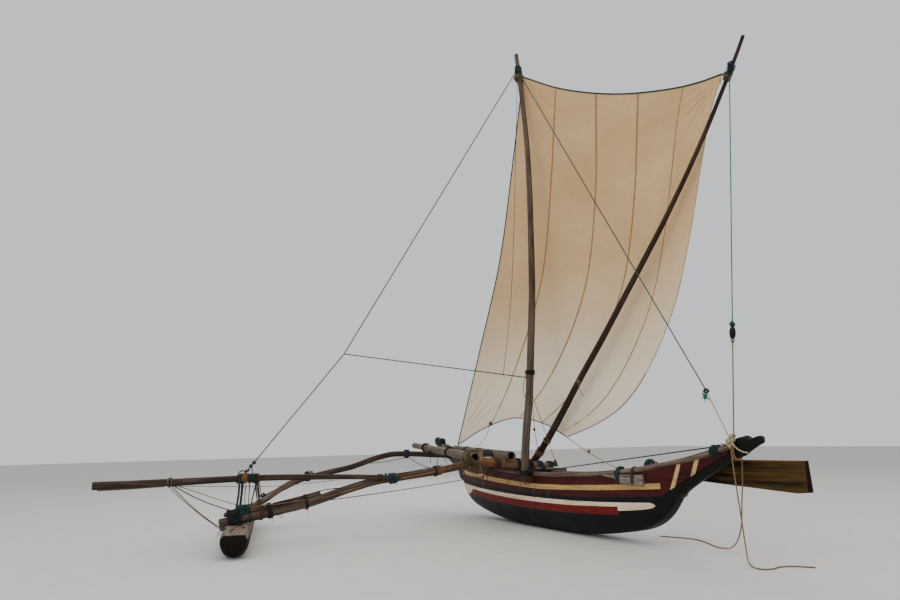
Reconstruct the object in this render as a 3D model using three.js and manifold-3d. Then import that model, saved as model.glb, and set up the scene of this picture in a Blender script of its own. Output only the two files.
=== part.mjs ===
// A beached outrigger sailing canoe: a plank-sided dugout with two lashed booms, a log float,
// a mast, a sprit and a sail set between them, and a steering oar stowed along its side.
// Millimetres. +X runs along the hull towards the near end, +Y is leeward, away from the float,
// +Z is up, and z = 0 is the ground that the keel and the float stand on.
import * as THREE from 'three';
import { mergeVertices } from 'three/addons/utils/BufferGeometryUtils.js';
import Module from 'manifold-3d';

const wasm = await Module();
wasm.setup();

// Clearances: between pieces that touch, and round the steering oar's loom
const GAP = 0.3;
const RUNNING_GAP = 0.6;

// Hull
const KNEE_X = 3100;
const KNEE_Z = 672;
const KEEL_FLAT_X = 500;
const KEEL_ROCKER = 5.7e-5;
const FOREFOOT_X = 2250;
const FOREFOOT_RISE = 287;
const KEEL_HALF_WIDTH = 60;
const STEM_HALF_WIDTH = 30;
const SEAM_Z = 540;
const SEAM_RISE = 1.7e-5;
const SHEER_Z = 910;
const SHEER_RISE = 2.02e-5;
const SHEER_RISE_4 = 5e-13;
const BILGE_HALF_BREADTH = 350;
const SEAM_HALF_BREADTH = 318;
const SHEER_HALF_BREADTH = 250;
const HEAD_HALF_WIDTH = 62;
const HEAD_ROOT_X = 4150;
const STRAKE_END_X = 4030;
const HULL_END_X = 4565;
const HULL_TOP_Z = 1650;
// Half the width of a slab that cuts right across the hull
const ACROSS = 500;
const DUGOUT_WALL = 36;
const DUGOUT_HOLLOW_X = 2780;
const STRAKE_WALL = 28;
const STEM_BAND = 125;
const RAIL_RADIUS = 38;
const NECK = { x: 4122, width: 48, low: 1190, top: 1372, high: 1420 };
const THWART_XS = [-1950, 950, 2350];
const THWART = { width: 150, thickness: 28, drop: 150, rebate: 7 };

// Float: its axis from the near end to the far end, and its section
const FLOAT_NEAR = [450, -5420];
const FLOAT_FAR = [-4000, -4400];
const FLOAT_FLAT = 55;
const FLOAT_HEIGHT = 360;

// Steering oar, stowed along the leeward side
const OAR_Y = 258;
const OAR_PIVOT = [2380, 1101.6];
const OAR_DIP_DEG = 18;
const OAR_LOOM_RADIUS = 34;
const OAR_BLADE_THICKNESS = 38;

// Cordage and cloth
const STAY_RADIUS = 9;
const STROP_RADIUS = 17;
const LASHING = 16;
const GROMMET = 25;
const GROMMET_WIDTH = 34;
const TAIL_RADIUS = 9;
const CLOTH = 6;

const MATERIALS = {
  bottom: new THREE.MeshStandardMaterial({ color: 0x13241d, roughness: 0.6 }),
  strake: new THREE.MeshStandardMaterial({ color: 0x5a1512, roughness: 0.55 }),
  stem: new THREE.MeshStandardMaterial({ color: 0x131313, roughness: 0.6 }),
  timber: new THREE.MeshStandardMaterial({ color: 0x5e4a40, roughness: 0.85 }),
  bamboo: new THREE.MeshStandardMaterial({ color: 0x80654b, roughness: 0.7 }),
  driftwood: new THREE.MeshStandardMaterial({ color: 0x6f655c, roughness: 0.95 }),
  spar: new THREE.MeshStandardMaterial({ color: 0x54443c, roughness: 0.8 }),
  board: new THREE.MeshStandardMaterial({ color: 0x5c4526, roughness: 0.85 }),
  cloth: new THREE.MeshStandardMaterial({ color: 0xd8c39c, roughness: 0.95 }),
  rope: new THREE.MeshStandardMaterial({ color: 0x1f3b36, roughness: 0.95 }),
  coir: new THREE.MeshStandardMaterial({ color: 0x8c7450, roughness: 0.95 }),
};

const canoe = new THREE.Group();
canoe.name = 'outrigger_canoe';

// Solids and meshes
function solid(geometry) {
  const bare = geometry.clone();
  bare.deleteAttribute('normal');
  bare.deleteAttribute('uv');
  const merged = mergeVertices(bare, 1e-3);
  return new wasm.Manifold(new wasm.Mesh({
    numProp: 3,
    vertProperties: new Float32Array(merged.attributes.position.array),
    triVerts: new Uint32Array(merged.index.array),
  }));
}

function place(name, body, material) {
  const { vertProperties, triVerts } = body.getMesh();
  const geometry = new THREE.BufferGeometry();
  geometry.setAttribute('position', new THREE.BufferAttribute(new Float32Array(vertProperties), 3));
  geometry.setIndex(new THREE.BufferAttribute(new Uint32Array(triVerts), 1));
  geometry.computeVertexNormals();
  const mesh = new THREE.Mesh(geometry, material);
  mesh.name = name;
  canoe.add(mesh);
}

function signedVolume(points, faces) {
  let sum = 0;
  for (let i = 0; i < faces.length; i += 3) {
    const [a, b, c] = [points[faces[i]], points[faces[i + 1]], points[faces[i + 2]]];
    sum += a.dot(b.clone().cross(c));
  }
  return sum;
}

// A closed body through rings of equally many points, each end closed by a fan from the ring's middle
function loft(rings) {
  const count = rings[0].length;
  const points = rings.flat();
  const faces = [];
  for (let i = 0; i < rings.length - 1; i += 1) {
    for (let j = 0; j < count; j += 1) {
      const a = i * count + j;
      const b = i * count + ((j + 1) % count);
      faces.push(a, b, b + count, a, b + count, a + count);
    }
  }
  for (const ring of [0, rings.length - 1]) {
    const middle = new THREE.Vector3();
    rings[ring].forEach((p) => middle.addScaledVector(p, 1 / count));
    points.push(middle);
    for (let j = 0; j < count; j += 1) {
      const a = ring * count + j;
      const b = ring * count + ((j + 1) % count);
      faces.push(points.length - 1, ring ? a : b, ring ? b : a);
    }
  }
  const geometry = new THREE.BufferGeometry().setFromPoints(points);
  geometry.setIndex(signedVolume(points, faces) < 0 ? faces.reverse() : faces);
  return solid(geometry);
}

// A smooth curve through points, or a straight line where there are two
function smooth(points) {
  const through = points.map((p) => new THREE.Vector3(...p));
  return through.length > 2
    ? new THREE.CatmullRomCurve3(through, false, 'centripetal')
    : new THREE.LineCurve3(...through);
}

// A tapered round timber along its points; swell makes its radius larger and each end longer
function pole(timber, swell = 0) {
  const { points, r0, r1, sides = 10, steps = 1 } = timber;
  const curve = smooth(points);
  const rise = curve.getPoint(1).sub(curve.getPoint(0)).normalize().z;
  const steep = Math.abs(rise) > 0.8;
  const reference = new THREE.Vector3(steep ? 1 : 0, 0, steep ? 0 : 1);
  const rings = [];
  for (let i = 0; i <= steps; i += 1) {
    const t = i / steps;
    const tangent = curve.getTangentAt(t);
    const side = tangent.clone().cross(reference).normalize();
    const over = side.clone().cross(tangent);
    const centre = curve.getPointAt(t);
    if (i === 0) centre.addScaledVector(tangent, -swell);
    if (i === steps) centre.addScaledVector(tangent, swell);
    const radius = THREE.MathUtils.lerp(r0, r1, t) + swell;
    rings.push(Array.from({ length: sides }, (_, j) => centre.clone()
      .addScaledVector(side, radius * Math.cos((j / sides) * 2 * Math.PI))
      .addScaledVector(over, radius * Math.sin((j / sides) * 2 * Math.PI))));
  }
  return loft(rings);
}

// Straight lengths of rope from point to point, joined at the bends
function rope(points, radius = STAY_RADIUS) {
  const lengths = points.slice(1).map((end, i) => (
    pole({ points: [points[i], end], r0: radius, r1: radius, sides: 6 })));
  return lengths.reduce((a, b) => a.add(b));
}

function box(centre, size, direction = [1, 0, 0]) {
  const geometry = new THREE.BoxGeometry(...size);
  const along = new THREE.Vector3(...direction).normalize();
  const turn = new THREE.Quaternion().setFromUnitVectors(new THREE.Vector3(1, 0, 0), along);
  geometry.applyQuaternion(turn).translate(...centre);
  return solid(geometry);
}

// An outline in X and Z, pushed out along Y from y0 to y1
function sidewise(outline, y0, y1) {
  const shape = new THREE.Shape(outline.map(([x, z]) => new THREE.Vector2(x, z)));
  const geometry = new THREE.ExtrudeGeometry(shape, { depth: y1 - y0, bevelEnabled: false });
  geometry.rotateX(Math.PI / 2).translate(0, y1, 0);
  return solid(geometry);
}

// Hull lines as functions of x
function keelZ(x) {
  const rocker = KEEL_ROCKER * Math.max(0, Math.abs(x) - KEEL_FLAT_X) ** 2;
  const forefoot = Math.max(0, (Math.abs(x) - FOREFOOT_X) / (KNEE_X - FOREFOOT_X));
  return rocker + FOREFOOT_RISE * forefoot ** 3;
}

const seamZ = (x) => SEAM_Z + SEAM_RISE * x * x;
const sheerZ = (x) => SHEER_Z + SHEER_RISE * x * x + SHEER_RISE_4 * x ** 4;
const taper = (x, end, power) => 1 - (Math.abs(x) / end) ** power;
const bilgeHalf = (x) => BILGE_HALF_BREADTH * taper(x, 3350, 3.2);
const seamHalf = (x) => SEAM_HALF_BREADTH * taper(x, 3700, 3);
const sheerHalf = (x) => Math.max(HEAD_HALF_WIDTH, SHEER_HALF_BREADTH * taper(x, HULL_END_X, 2.6));
const railY = (x) => sheerHalf(x) - STRAKE_WALL / 2;

// The stem's lower line from the knee to the head, and each carved head's outline: x, z
const STEM_LINE = [
  [KNEE_X, KNEE_Z], [3280, 798], [3470, 906], [3800, 1074], [4115, 1222], [4176, 1243],
  [4262, 1270], [4311, 1303], [4375, 1345], [4453, 1386], [4530, 1418],
];
const NEAR_HEAD = [
  [4550, 1456], [4540, 1491], [4497, 1511], [4450, 1499], [4385, 1481], [4352, 1482],
  [4319, 1513], [4258, 1504], [4160, 1489], [HEAD_ROOT_X, 1370],
];
const FAR_HEAD = [
  [4556, 1465], [4530, 1500], [4450, 1560], [4415, 1577], [4380, 1560], [4320, 1537],
  [4250, 1537], [4200, 1552], [4165, 1525], [HEAD_ROOT_X, 1370],
];
const mirrored = (outline) => outline.map(([x, z]) => [-x, z]);
const bothWays = (half) => [...mirrored(half.filter(([x]) => x > 0)).reverse(), ...half];

function stemZ(x) {
  const after = STEM_LINE.findIndex((point) => point[0] >= x);
  const i = after < 0 ? STEM_LINE.length - 1 : Math.max(1, after);
  const [[x0, z0], [x1, z1]] = STEM_LINE.slice(i - 1, i + 1);
  return THREE.MathUtils.mapLinear(x, x0, x1, z0, z1);
}

// Half of the hull's section at x, from the keel up, drawn in by inset
function halfSection(x, inset) {
  const along = Math.abs(x);
  const top = sheerHalf(x) - inset;
  const half = [];
  if (along <= KNEE_X) {
    const keel = keelZ(x) + inset;
    const seam = Math.max(seamZ(x), keel + 20);
    const wide = bilgeHalf(x) - inset;
    const wideZ = keel + (seam - keel) * 0.6;
    const flat = Math.min(KEEL_HALF_WIDTH, wide * 0.5);
    for (const turn of [0, 0.25, 0.5, 0.75, 1]) {
      const angle = (turn * Math.PI) / 2;
      half.push([flat + (wide - flat) * Math.sin(angle), keel + (wideZ - keel) * (1 - Math.cos(angle))]);
    }
    half.push([seamHalf(x) - inset, seam]);
    for (const rise of [0.33, 0.66, 1]) {
      const y = THREE.MathUtils.lerp(seamHalf(x) - inset, top, 1 - (1 - rise) ** 1.3);
      half.push([y, THREE.MathUtils.lerp(seam, sheerZ(x), rise)]);
    }
  } else {
    const keel = stemZ(along) + inset;
    const foot = Math.min(STEM_HALF_WIDTH, top * 0.6);
    for (const rise of [0, 0.04, 0.09, 0.16, 0.25, 0.38, 0.56, 0.76, 1]) {
      const z = THREE.MathUtils.lerp(keel, Math.max(sheerZ(x), keel + 60), rise);
      half.push([foot + (top - foot) * rise ** 0.6, z]);
    }
  }
  half.push([top, HULL_TOP_Z]);
  return half;
}

// The whole hull as if solid, up to its ends or to reach
const STATIONS = [
  KEEL_FLAT_X, 850, 1200, 1600, 2000, 2350, 2650, 2900, 3040, KNEE_X, 3300, 3600, 3900, 4200, 4300,
];

function hullBody(inset, reach = HULL_END_X) {
  const forward = [...STATIONS.filter((x) => x < reach), reach];
  const xs = [...forward.map((x) => -x).reverse(), 0, ...forward];
  return loft(xs.map((x) => {
    const half = halfSection(x, inset);
    const leeward = half.map(([y, z]) => new THREE.Vector3(x, y, z));
    const windward = half.map(([y, z]) => new THREE.Vector3(x, -y, z)).reverse();
    return [...leeward, ...windward];
  }));
}

// Timbers by their points: x, y, z, with the radius at the first point and at the last
const RAIL_XS = [0, 900, 1800, 2600, 3300, 3800, 4080];
const railLine = bothWays(RAIL_XS.map((x) => [x, sheerZ(x)]));
const railPoints = (side) => railLine.map(([x, z]) => [x, side * railY(x), z]);

const TIMBERS = {
  gunwale_windward: { r0: RAIL_RADIUS, r1: RAIL_RADIUS, steps: 14, points: railPoints(-1) },
  gunwale_leeward: { r0: RAIL_RADIUS, r1: RAIL_RADIUS, steps: 14, points: railPoints(1) },
  near_boom: { r0: 68, r1: 62, steps: 14, points: [
    [-500, -5460, 385], [-500, -5100, 440], [-500, -4760, 496], [-500, -4280, 580], [-500, -3960, 655],
    [-500, -3450, 800], [-500, -3035, 887], [-500, -2580, 936], [-500, -1990, 1000], [-490, -1560, 1062],
    [-488, -1335, 1096], [-482, -1100, 1084], [-482, -150, 1004],
  ] },
  near_boom_top_pole: { r0: 32, r1: 28, steps: 6, points: [
    [-500, -5400, 505], [-500, -5020, 548], [-500, -4760, 590], [-500, -4280, 672], [-500, -3960, 746],
  ] },
  near_boom_bamboo: { r0: 76, r1: 72, sides: 12, points: [[-343, -1265, 1150], [-343, 310, 1000]] },
  near_boom_tail: { r0: 30, r1: 26, points: [[-240, -130, 985], [-240, 550, 950]] },
  far_boom: { r0: 50, r1: 59, steps: 12, points: [
    [-2900, -4330, 520], [-2900, -3950, 700], [-2900, -3640, 828], [-2900, -3060, 951], [-2900, -2640, 1030],
    [-2900, -2120, 1187], [-2900, -1780, 1252], [-2900, -1430, 1250], [-2900, -700, 1212],
    [-2900, -160, 1193], [-2900, 420, 1191],
  ] },
  far_boom_lower_pole: { r0: 58, r1: 46, steps: 6, points: [
    [-2790, -4780, 395], [-2790, -4550, 411], [-2790, -4300, 520], [-2790, -4110, 640], [-2790, -3830, 795],
    [-2790, -3430, 958],
  ] },
  long_pole: { r0: 58, r1: 36, steps: 7, points: [
    [-1000, -7150, 970], [-850, -6000, 985], [-700, -5100, 1005], [-500, -3960, 990], [-412, -3100, 955],
    [-400, -2650, 925],
  ] },
  spare_bamboo_1: { r0: 60, r1: 80, sides: 12, points: [[-4300, -665, 1400], [-120, -1400, 1220]] },
  spare_bamboo_2: { r0: 62, r1: 80, sides: 12, points: [[-3420, -90, 1327], [-180, -639, 1221]] },
  tarred_pole: { r0: 36, r1: 32, steps: 4, points: [
    [-3780, -125, 1357], [-2870, -278, 1285], [-950, -618, 1236],
  ] },
  mast: { r0: 74, r1: 39, sides: 12, steps: 14, points: [
    [-201, -362, 875], [-196, -362, 1040], [-103, -362, 1663], [16, -362, 2181], [157, -362, 3229],
    [242, -362, 3938], [303, -362, 5408], [310, -362, 6173], [284, -362, 6968], [189, -362, 7817],
    [84, -362, 8596], [52, -362, 8830],
  ] },
  sprit: { r0: 66, r1: 25, sides: 12, steps: 10, points: [
    [-840, 195, 1032], [-356, 197, 1421], [86, 198, 1828], [754, 201, 2485], [1401, 204, 3091],
    [1978, 207, 3659], [3012, 213, 4688], [3843, 218, 5627], [4514, 223, 6514], [4696, 225, 6787],
  ] },
  steering_oar_loom: { r0: OAR_LOOM_RADIUS, r1: OAR_LOOM_RADIUS, points: [
    [2190, OAR_Y, 1109], [3560, OAR_Y, 1056],
  ] },
};

// Where two timbers cross or lie together, the second is cut a seat for the first
const SEATS = [
  ['near_boom_bamboo', 'gunwale_leeward'],
  ['near_boom_bamboo', 'spare_bamboo_2'],
  ['near_boom_tail', 'gunwale_leeward'],
  ['near_boom', 'gunwale_windward'],
  ['near_boom', 'near_boom_top_pole'],
  ['near_boom', 'spare_bamboo_1'],
  ['near_boom', 'long_pole'],
  ['mast', 'near_boom_bamboo'],
  ['far_boom', 'gunwale_windward'],
  ['far_boom', 'gunwale_leeward'],
  ['far_boom', 'spare_bamboo_1'],
  ['far_boom', 'spare_bamboo_2'],
  ['far_boom', 'tarred_pole'],
  ['gunwale_windward', 'tarred_pole'],
  ['spare_bamboo_2', 'tarred_pole'],
];

// Wrappings of rope or cloth: name, timbers inside, middle, direction and width
const WRAPPINGS = [
  ['float_lashing', ['near_boom', 'near_boom_top_pole'], [-500, -5290, 445], [0, 1, 0.15], 100],
  ['near_boom_lashing_outer', ['near_boom', 'near_boom_top_pole'], [-500, -4740, 530], [0, 1, 0.17], 60],
  ['near_boom_lashing_inner', ['near_boom', 'near_boom_top_pole'], [-500, -4190, 640], [0, 1, 0.2], 50],
  ['long_pole_lashing', ['near_boom', 'long_pole'], [-450, -2750, 935], [0, 1, 0.1], 110],
  ['near_boom_splice', ['near_boom', 'near_boom_bamboo'], [-420, -860, 1070], [0, 1, -0.1], 130],
  ['near_boom_tail_lashing', ['near_boom_bamboo', 'near_boom_tail'], [-300, 40, 1005], [0, 1, -0.05], 90],
  ['far_boom_lashing', ['far_boom', 'far_boom_lower_pole'], [-2850, -3520, 890], [0, 1, 0.35], 60],
  ['mast_foot_lashing', ['mast'], [-200, -362, 925], [0.02, 0, 1], 90],
  ['mast_head_lashing', ['mast'], [111, -362, 8400], [-0.13, 0, 0.99], 190],
  ['sprit_head_lashing', ['sprit'], [4415, 222, 6380], [0.59, 0.004, 0.807], 120],
];

const joined = (names, swell) => names.map((name) => pole(TIMBERS[name], swell)).reduce((a, b) => a.add(b));
const slice = (centre, direction, width) => box(centre, [width, 2 * ACROSS, 2 * ACROSS], direction);

function wrapping(names, centre, direction, width) {
  return joined(names, LASHING).subtract(joined(names, GAP)).intersect(slice(centre, direction, width));
}

// A wrapping as it is cut from what meets it
function wrapped(name) {
  const [, names, centre, direction, width] = WRAPPINGS.find((row) => row[0] === name);
  return joined(names, LASHING + GAP).intersect(slice(centre, direction, width + 2 * GAP));
}

// Hull pieces
const SEAM_XS = [0, 600, 1200, 1800, 2350];
const STEM_FOOT_X = 2800;
const STEM_FOOT_Z = seamZ(STEM_FOOT_X) + 10;
const STEM_FOOT_TOP_Z = STEM_FOOT_Z + 25;
const seamLine = (lift) => SEAM_XS.map((x) => [x, seamZ(x) + lift]);
const bandTop = (lift) => STEM_LINE.slice(1, 5).map(([x, z]) => [x - 30, z + STEM_BAND + lift]);

function strakes(outer) {
  const top = bothWays([0, 900, 1800, 2700, 3500, STRAKE_END_X].map((x) => [x, sheerZ(x) + 6]));
  const band = bandTop(GAP);
  const endZ = THREE.MathUtils.mapLinear(STRAKE_END_X, band[2][0], band[3][0], band[2][1], band[3][1]);
  const step = [[STEM_FOOT_X - GAP, seamZ(STEM_FOOT_X) + GAP], [STEM_FOOT_X - GAP, STEM_FOOT_TOP_Z + GAP]];
  const foot = bothWays([...seamLine(GAP), ...step, ...band.slice(0, 3), [STRAKE_END_X, endZ]]);
  const outline = [...foot, ...top.reverse()];
  return outer.subtract(hullBody(STRAKE_WALL)).intersect(sidewise(outline, -ACROSS, ACROSS));
}

function stemOutline(head) {
  return [
    [STEM_FOOT_X, STEM_FOOT_Z + GAP], [KNEE_X + GAP, STEM_FOOT_Z + GAP], [KNEE_X + GAP, KNEE_Z],
    ...STEM_LINE.slice(1), ...head, ...bandTop(0).reverse(), [STEM_FOOT_X, STEM_FOOT_TOP_Z],
  ];
}

function buildHull() {
  const outer = hullBody(0);
  const underSeam = [
    ...bothWays([...seamLine(0), [STEM_FOOT_X, seamZ(STEM_FOOT_X)], [KNEE_X - GAP, STEM_FOOT_Z]]),
    [KNEE_X - GAP, -10], [-KNEE_X + GAP, -10],
  ];
  const hollow = hullBody(DUGOUT_WALL, DUGOUT_HOLLOW_X);
  const bottom = outer.intersect(sidewise(underSeam, -ACROSS, ACROSS)).subtract(hollow);
  place('hull_dugout', bottom, MATERIALS.bottom);

  const rails = joined(['gunwale_windward', 'gunwale_leeward'], GAP);
  const stem = (outline) => outer.intersect(sidewise(outline, -ACROSS, ACROSS)).subtract(rails);
  place('stem_near', stem(stemOutline(NEAR_HEAD)), MATERIALS.stem);
  place('stem_far', stem(mirrored(stemOutline(FAR_HEAD))), MATERIALS.stem);

  const sides = { windward: -1, leeward: 1 };
  const plank = strakes(outer);
  for (const [side, sign] of Object.entries(sides)) {
    const middle = [0, sign * (ACROSS / 2 + GAP), HULL_TOP_Z / 2];
    const half = plank.intersect(box(middle, [2 * HULL_END_X, ACROSS, HULL_TOP_Z]));
    const cut = half.subtract(pole(TIMBERS[`gunwale_${side}`], GAP));
    place(`washstrake_${side}`, cut, MATERIALS.strake);
  }
}

function buildRails() {
  for (const side of ['windward', 'leeward']) {
    place(`gunwale_${side}`, seated(`gunwale_${side}`), MATERIALS.timber);
  }
}

// A timber cut with the seats of what lies against it
function seated(name) {
  const uppers = SEATS.filter((pair) => pair[1] === name).map((pair) => pair[0]);
  return uppers.reduce((body, upper) => body.subtract(pole(TIMBERS[upper], GAP)), pole(TIMBERS[name]));
}

function buildThwarts() {
  // Each plank's ends meet the strakes with their lower half, and its upper half stops short of them
  const inside = hullBody(STRAKE_WALL + GAP);
  const rebated = hullBody(STRAKE_WALL + GAP + THWART.rebate);
  const half = THWART.thickness / 2;
  THWART_XS.forEach((x, i) => {
    const z = sheerZ(x) - THWART.drop;
    const lower = box([x, 0, z - half / 2], [THWART.width, 900, half]).intersect(inside);
    const upper = box([x, 0, z], [THWART.width, 900, THWART.thickness]).intersect(rebated);
    place(`thwart_${i + 1}`, lower.add(upper), MATERIALS.driftwood);
  });
}

// The float: a log with a flat top and both ends cut up from below
function buildFloat() {
  const [near, far] = [new THREE.Vector2(...FLOAT_NEAR), new THREE.Vector2(...FLOAT_FAR)];
  const along = far.clone().sub(near).normalize();
  const length = far.distanceTo(near);
  // distance from an end, half width, bottom z, top z
  const end = [[0, 172, 150, 318], [70, 184, 80, 336], [220, 190, 25, 352], [480, 195, 0, FLOAT_HEIGHT]];
  const stations = [...end, ...end.map(([s, ...rest]) => [length - s, ...rest]).reverse()];
  const rings = stations.map(([s, half, low, high]) => {
    const wide = low + (high - low) * 0.62;
    const side = [[FLOAT_FLAT, low]];
    for (const turn of [0.33, 0.66, 1]) {
      const angle = (turn * Math.PI) / 2;
      const y = THREE.MathUtils.lerp(FLOAT_FLAT, half, Math.sin(angle));
      side.push([y, THREE.MathUtils.lerp(low, wide, 1 - Math.cos(angle))]);
    }
    side.push([half * 0.92, high - 30], [half * 0.78, high]);
    const ring = [...side, ...side.map(([y, z]) => [-y, z]).reverse()];
    const centre = near.clone().addScaledVector(along, s);
    return ring.map(([y, z]) => new THREE.Vector3(centre.x - along.y * y, centre.y + along.x * y, z));
  });
  const seats = joined(['near_boom', 'far_boom_lower_pole'], GAP).add(wrapped('float_lashing'));
  place('float', loft(rings).subtract(seats), MATERIALS.driftwood);
}

function buildTimbers() {
  for (const name of ['near_boom', 'near_boom_top_pole', 'far_boom', 'far_boom_lower_pole', 'long_pole']) {
    place(name, seated(name), MATERIALS.timber);
  }
  place('near_boom_bamboo', seated('near_boom_bamboo'), MATERIALS.bamboo);
  place('near_boom_tail', seated('near_boom_tail'), MATERIALS.timber);
  // The spare bamboos are open at their near ends, as far as the first knot
  for (const name of ['spare_bamboo_1', 'spare_bamboo_2']) {
    const { points, r1 } = TIMBERS[name];
    const [from, to] = points.map((p) => new THREE.Vector3(...p));
    const inward = from.clone().sub(to).normalize();
    const deep = to.clone().addScaledVector(inward, 260).toArray();
    const mouth = to.clone().addScaledVector(inward, -20).toArray();
    const bore = pole({ points: [deep, mouth], r0: r1 - 16, r1: r1 - 16, sides: 12 });
    place(name, seated(name).subtract(bore), MATERIALS.bamboo);
  }
  place('tarred_pole', seated('tarred_pole'), MATERIALS.stem);
  place('mast', pole(TIMBERS.mast), MATERIALS.spar);
  place('sprit', pole(TIMBERS.sprit), MATERIALS.spar);
}

// Blocks under the mast, the bamboo and the sprit's foot: centre and size
const MAST_STEP = [[-205, -345, 822], [190, 190, 100]];
const BAMBOO_CHOCK = [[-343, -railY(343), 965], [120, 84, 70]];
const SPRIT_STEP = [[-840, 155, 930], [150, 150, 100]];

function buildBlocks() {
  place('mast_step', box(...MAST_STEP).subtract(hullBody(-GAP)), MATERIALS.spar);
  const chockSeat = joined(['gunwale_windward', 'near_boom_bamboo'], GAP);
  place('bamboo_chock', box(...BAMBOO_CHOCK).subtract(chockSeat), MATERIALS.spar);
  const insideHull = hullBody(STRAKE_WALL + GAP).subtract(pole(TIMBERS.gunwale_leeward, GAP));
  place('sprit_step', box(...SPRIT_STEP).intersect(insideHull), MATERIALS.spar);
}

// Sail: four edges, each through a few points, and a filled sheet between them
const SAIL_EDGES = {
  top: [
    [178, -310, 8309], [1066, -120, 7684], [2305, 50, 7027], [3360, 190, 6639], [3892, 235, 6501],
    [4271, 250, 6439],
  ],
  left: [[178, -310, 8309], [-508, -200, 6690], [-1190, -130, 5037], [-2302, -20, 3357], [-3531, 49, 1395]],
  foot: [[-3531, 49, 1395], [-2481, 150, 1742], [-1447, 250, 1914], [-532, 330, 1773], [93, 360, 1528]],
  right: [
    [4271, 250, 6439], [3990, 290, 6035], [3720, 320, 5391], [3320, 350, 4312], [2875, 370, 3354],
    [2164, 385, 2452], [1610, 385, 2018], [1012, 380, 1766], [93, 360, 1528],
  ],
};
const SAIL_CORNER = [[4255, 247, 6436], [4415, 224, 6385]];
const SAIL_BELLY = 130;
const SAIL_ACROSS = 12;
const SAIL_DOWN = 12;

function sailPoint(curves, u, v) {
  const { top, left, foot, right } = curves;
  const at = (curve, t) => curve.getPoint(t);
  const corners = [
    [at(top, 0), (1 - u) * (1 - v)], [at(top, 1), u * (1 - v)],
    [at(foot, 0), (1 - u) * v], [at(foot, 1), u * v],
  ];
  const point = at(top, u).multiplyScalar(1 - v).addScaledVector(at(foot, u), v)
    .addScaledVector(at(left, v), 1 - u).addScaledVector(at(right, v), u);
  corners.forEach(([corner, weight]) => point.addScaledVector(corner, -weight));
  point.y += SAIL_BELLY * Math.sin(Math.PI * u) * Math.sin(Math.PI * v);
  return point;
}

// The sheet's two faces as grids of points, joined by a strip round their rim
function sailSheet(thickness) {
  const named = Object.entries(SAIL_EDGES).map(([name, points]) => [name, smooth(points)]);
  const curves = Object.fromEntries(named);
  const points = [];
  for (const side of [-0.5, 0.5]) {
    for (let j = 0; j <= SAIL_DOWN; j += 1) {
      for (let i = 0; i <= SAIL_ACROSS; i += 1) {
        const point = sailPoint(curves, i / SAIL_ACROSS, j / SAIL_DOWN);
        points.push(point.setY(point.y + side * thickness));
      }
    }
  }
  const index = (layer, i, j) => (layer * (SAIL_DOWN + 1) + j) * (SAIL_ACROSS + 1) + i;
  const faces = [];
  const square = (a, b, c, d) => faces.push(a, b, c, a, c, d);
  // The strip between the two faces from one rim point to the next
  const rim = (i0, j0, i1, j1) => (
    square(index(0, i0, j0), index(0, i1, j1), index(1, i1, j1), index(1, i0, j0)));
  for (let j = 0; j < SAIL_DOWN; j += 1) {
    for (let i = 0; i < SAIL_ACROSS; i += 1) {
      square(index(0, i, j), index(0, i + 1, j), index(0, i + 1, j + 1), index(0, i, j + 1));
      square(index(1, i, j + 1), index(1, i + 1, j + 1), index(1, i + 1, j), index(1, i, j));
    }
    rim(0, j, 0, j + 1);
    rim(SAIL_ACROSS, j + 1, SAIL_ACROSS, j);
  }
  for (let i = 0; i < SAIL_ACROSS; i += 1) {
    rim(i + 1, 0, i, 0);
    rim(i, SAIL_DOWN, i + 1, SAIL_DOWN);
  }
  const geometry = new THREE.BufferGeometry().setFromPoints(points);
  geometry.setIndex(signedVolume(points, faces) < 0 ? faces.reverse() : faces);
  return solid(geometry);
}

function buildSail() {
  const heads = wrapped('mast_head_lashing').add(wrapped('sprit_head_lashing'));
  place('sail', sailSheet(CLOTH).subtract(heads), MATERIALS.cloth);
}

// The steering oar's loom and its blade, a board on edge: x, z
const BLADE = [
  [3180, 1000], [3300, 1120], [3480, 1205], [4905, 1212], [4928, 852], [4742, 832], [3216, 912],
];

// The loom in its grommet, from lying level to fully dipped
function loomSweep() {
  const [pivotX, pivotZ] = OAR_PIVOT;
  const turned = [0, 0.25, 0.5, 0.75, 1].map((share) => {
    const dip = THREE.MathUtils.degToRad(share * OAR_DIP_DEG);
    const points = TIMBERS.steering_oar_loom.points.map(([x, y, z]) => [
      pivotX + (x - pivotX) * Math.cos(dip) + (z - pivotZ) * Math.sin(dip), y,
      pivotZ + (z - pivotZ) * Math.cos(dip) - (x - pivotX) * Math.sin(dip),
    ]);
    return pole({ ...TIMBERS.steering_oar_loom, points }, RUNNING_GAP);
  });
  return turned.reduce((a, b) => a.add(b));
}

function buildOar() {
  const half = OAR_BLADE_THICKNESS / 2;
  const blade = sidewise(BLADE, OAR_Y - half, OAR_Y + half);
  const slot = sidewise(BLADE, OAR_Y - half - GAP, OAR_Y + half + GAP)
    .add(sidewise(BLADE.map(([x, z]) => [x - GAP, z]), OAR_Y - half - GAP, OAR_Y + half + GAP));
  place('steering_oar_blade', blade, MATERIALS.board);
  place('steering_oar_loom', pole(TIMBERS.steering_oar_loom).subtract(slot), MATERIALS.timber);
  const loom = TIMBERS.steering_oar_loom;
  const rail = TIMBERS.gunwale_leeward;
  const strap = pole(loom, GROMMET).add(pole(rail, LASHING));
  const pivotX = OAR_PIVOT[0];
  const slab = slice([pivotX, 0, OAR_PIVOT[1]], [1, 0, 0], GROMMET_WIDTH);
  const sheer = sheerZ(pivotX);
  const planks = hullBody(-GAP).intersect(box([pivotX, 0, sheer / 2], [ACROSS, 2 * ACROSS, sheer]));
  const grommet = strap.intersect(slab).subtract(loomSweep()).subtract(pole(rail, GAP)).subtract(planks);
  place('steering_oar_grommet', grommet, MATERIALS.rope);
}

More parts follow.
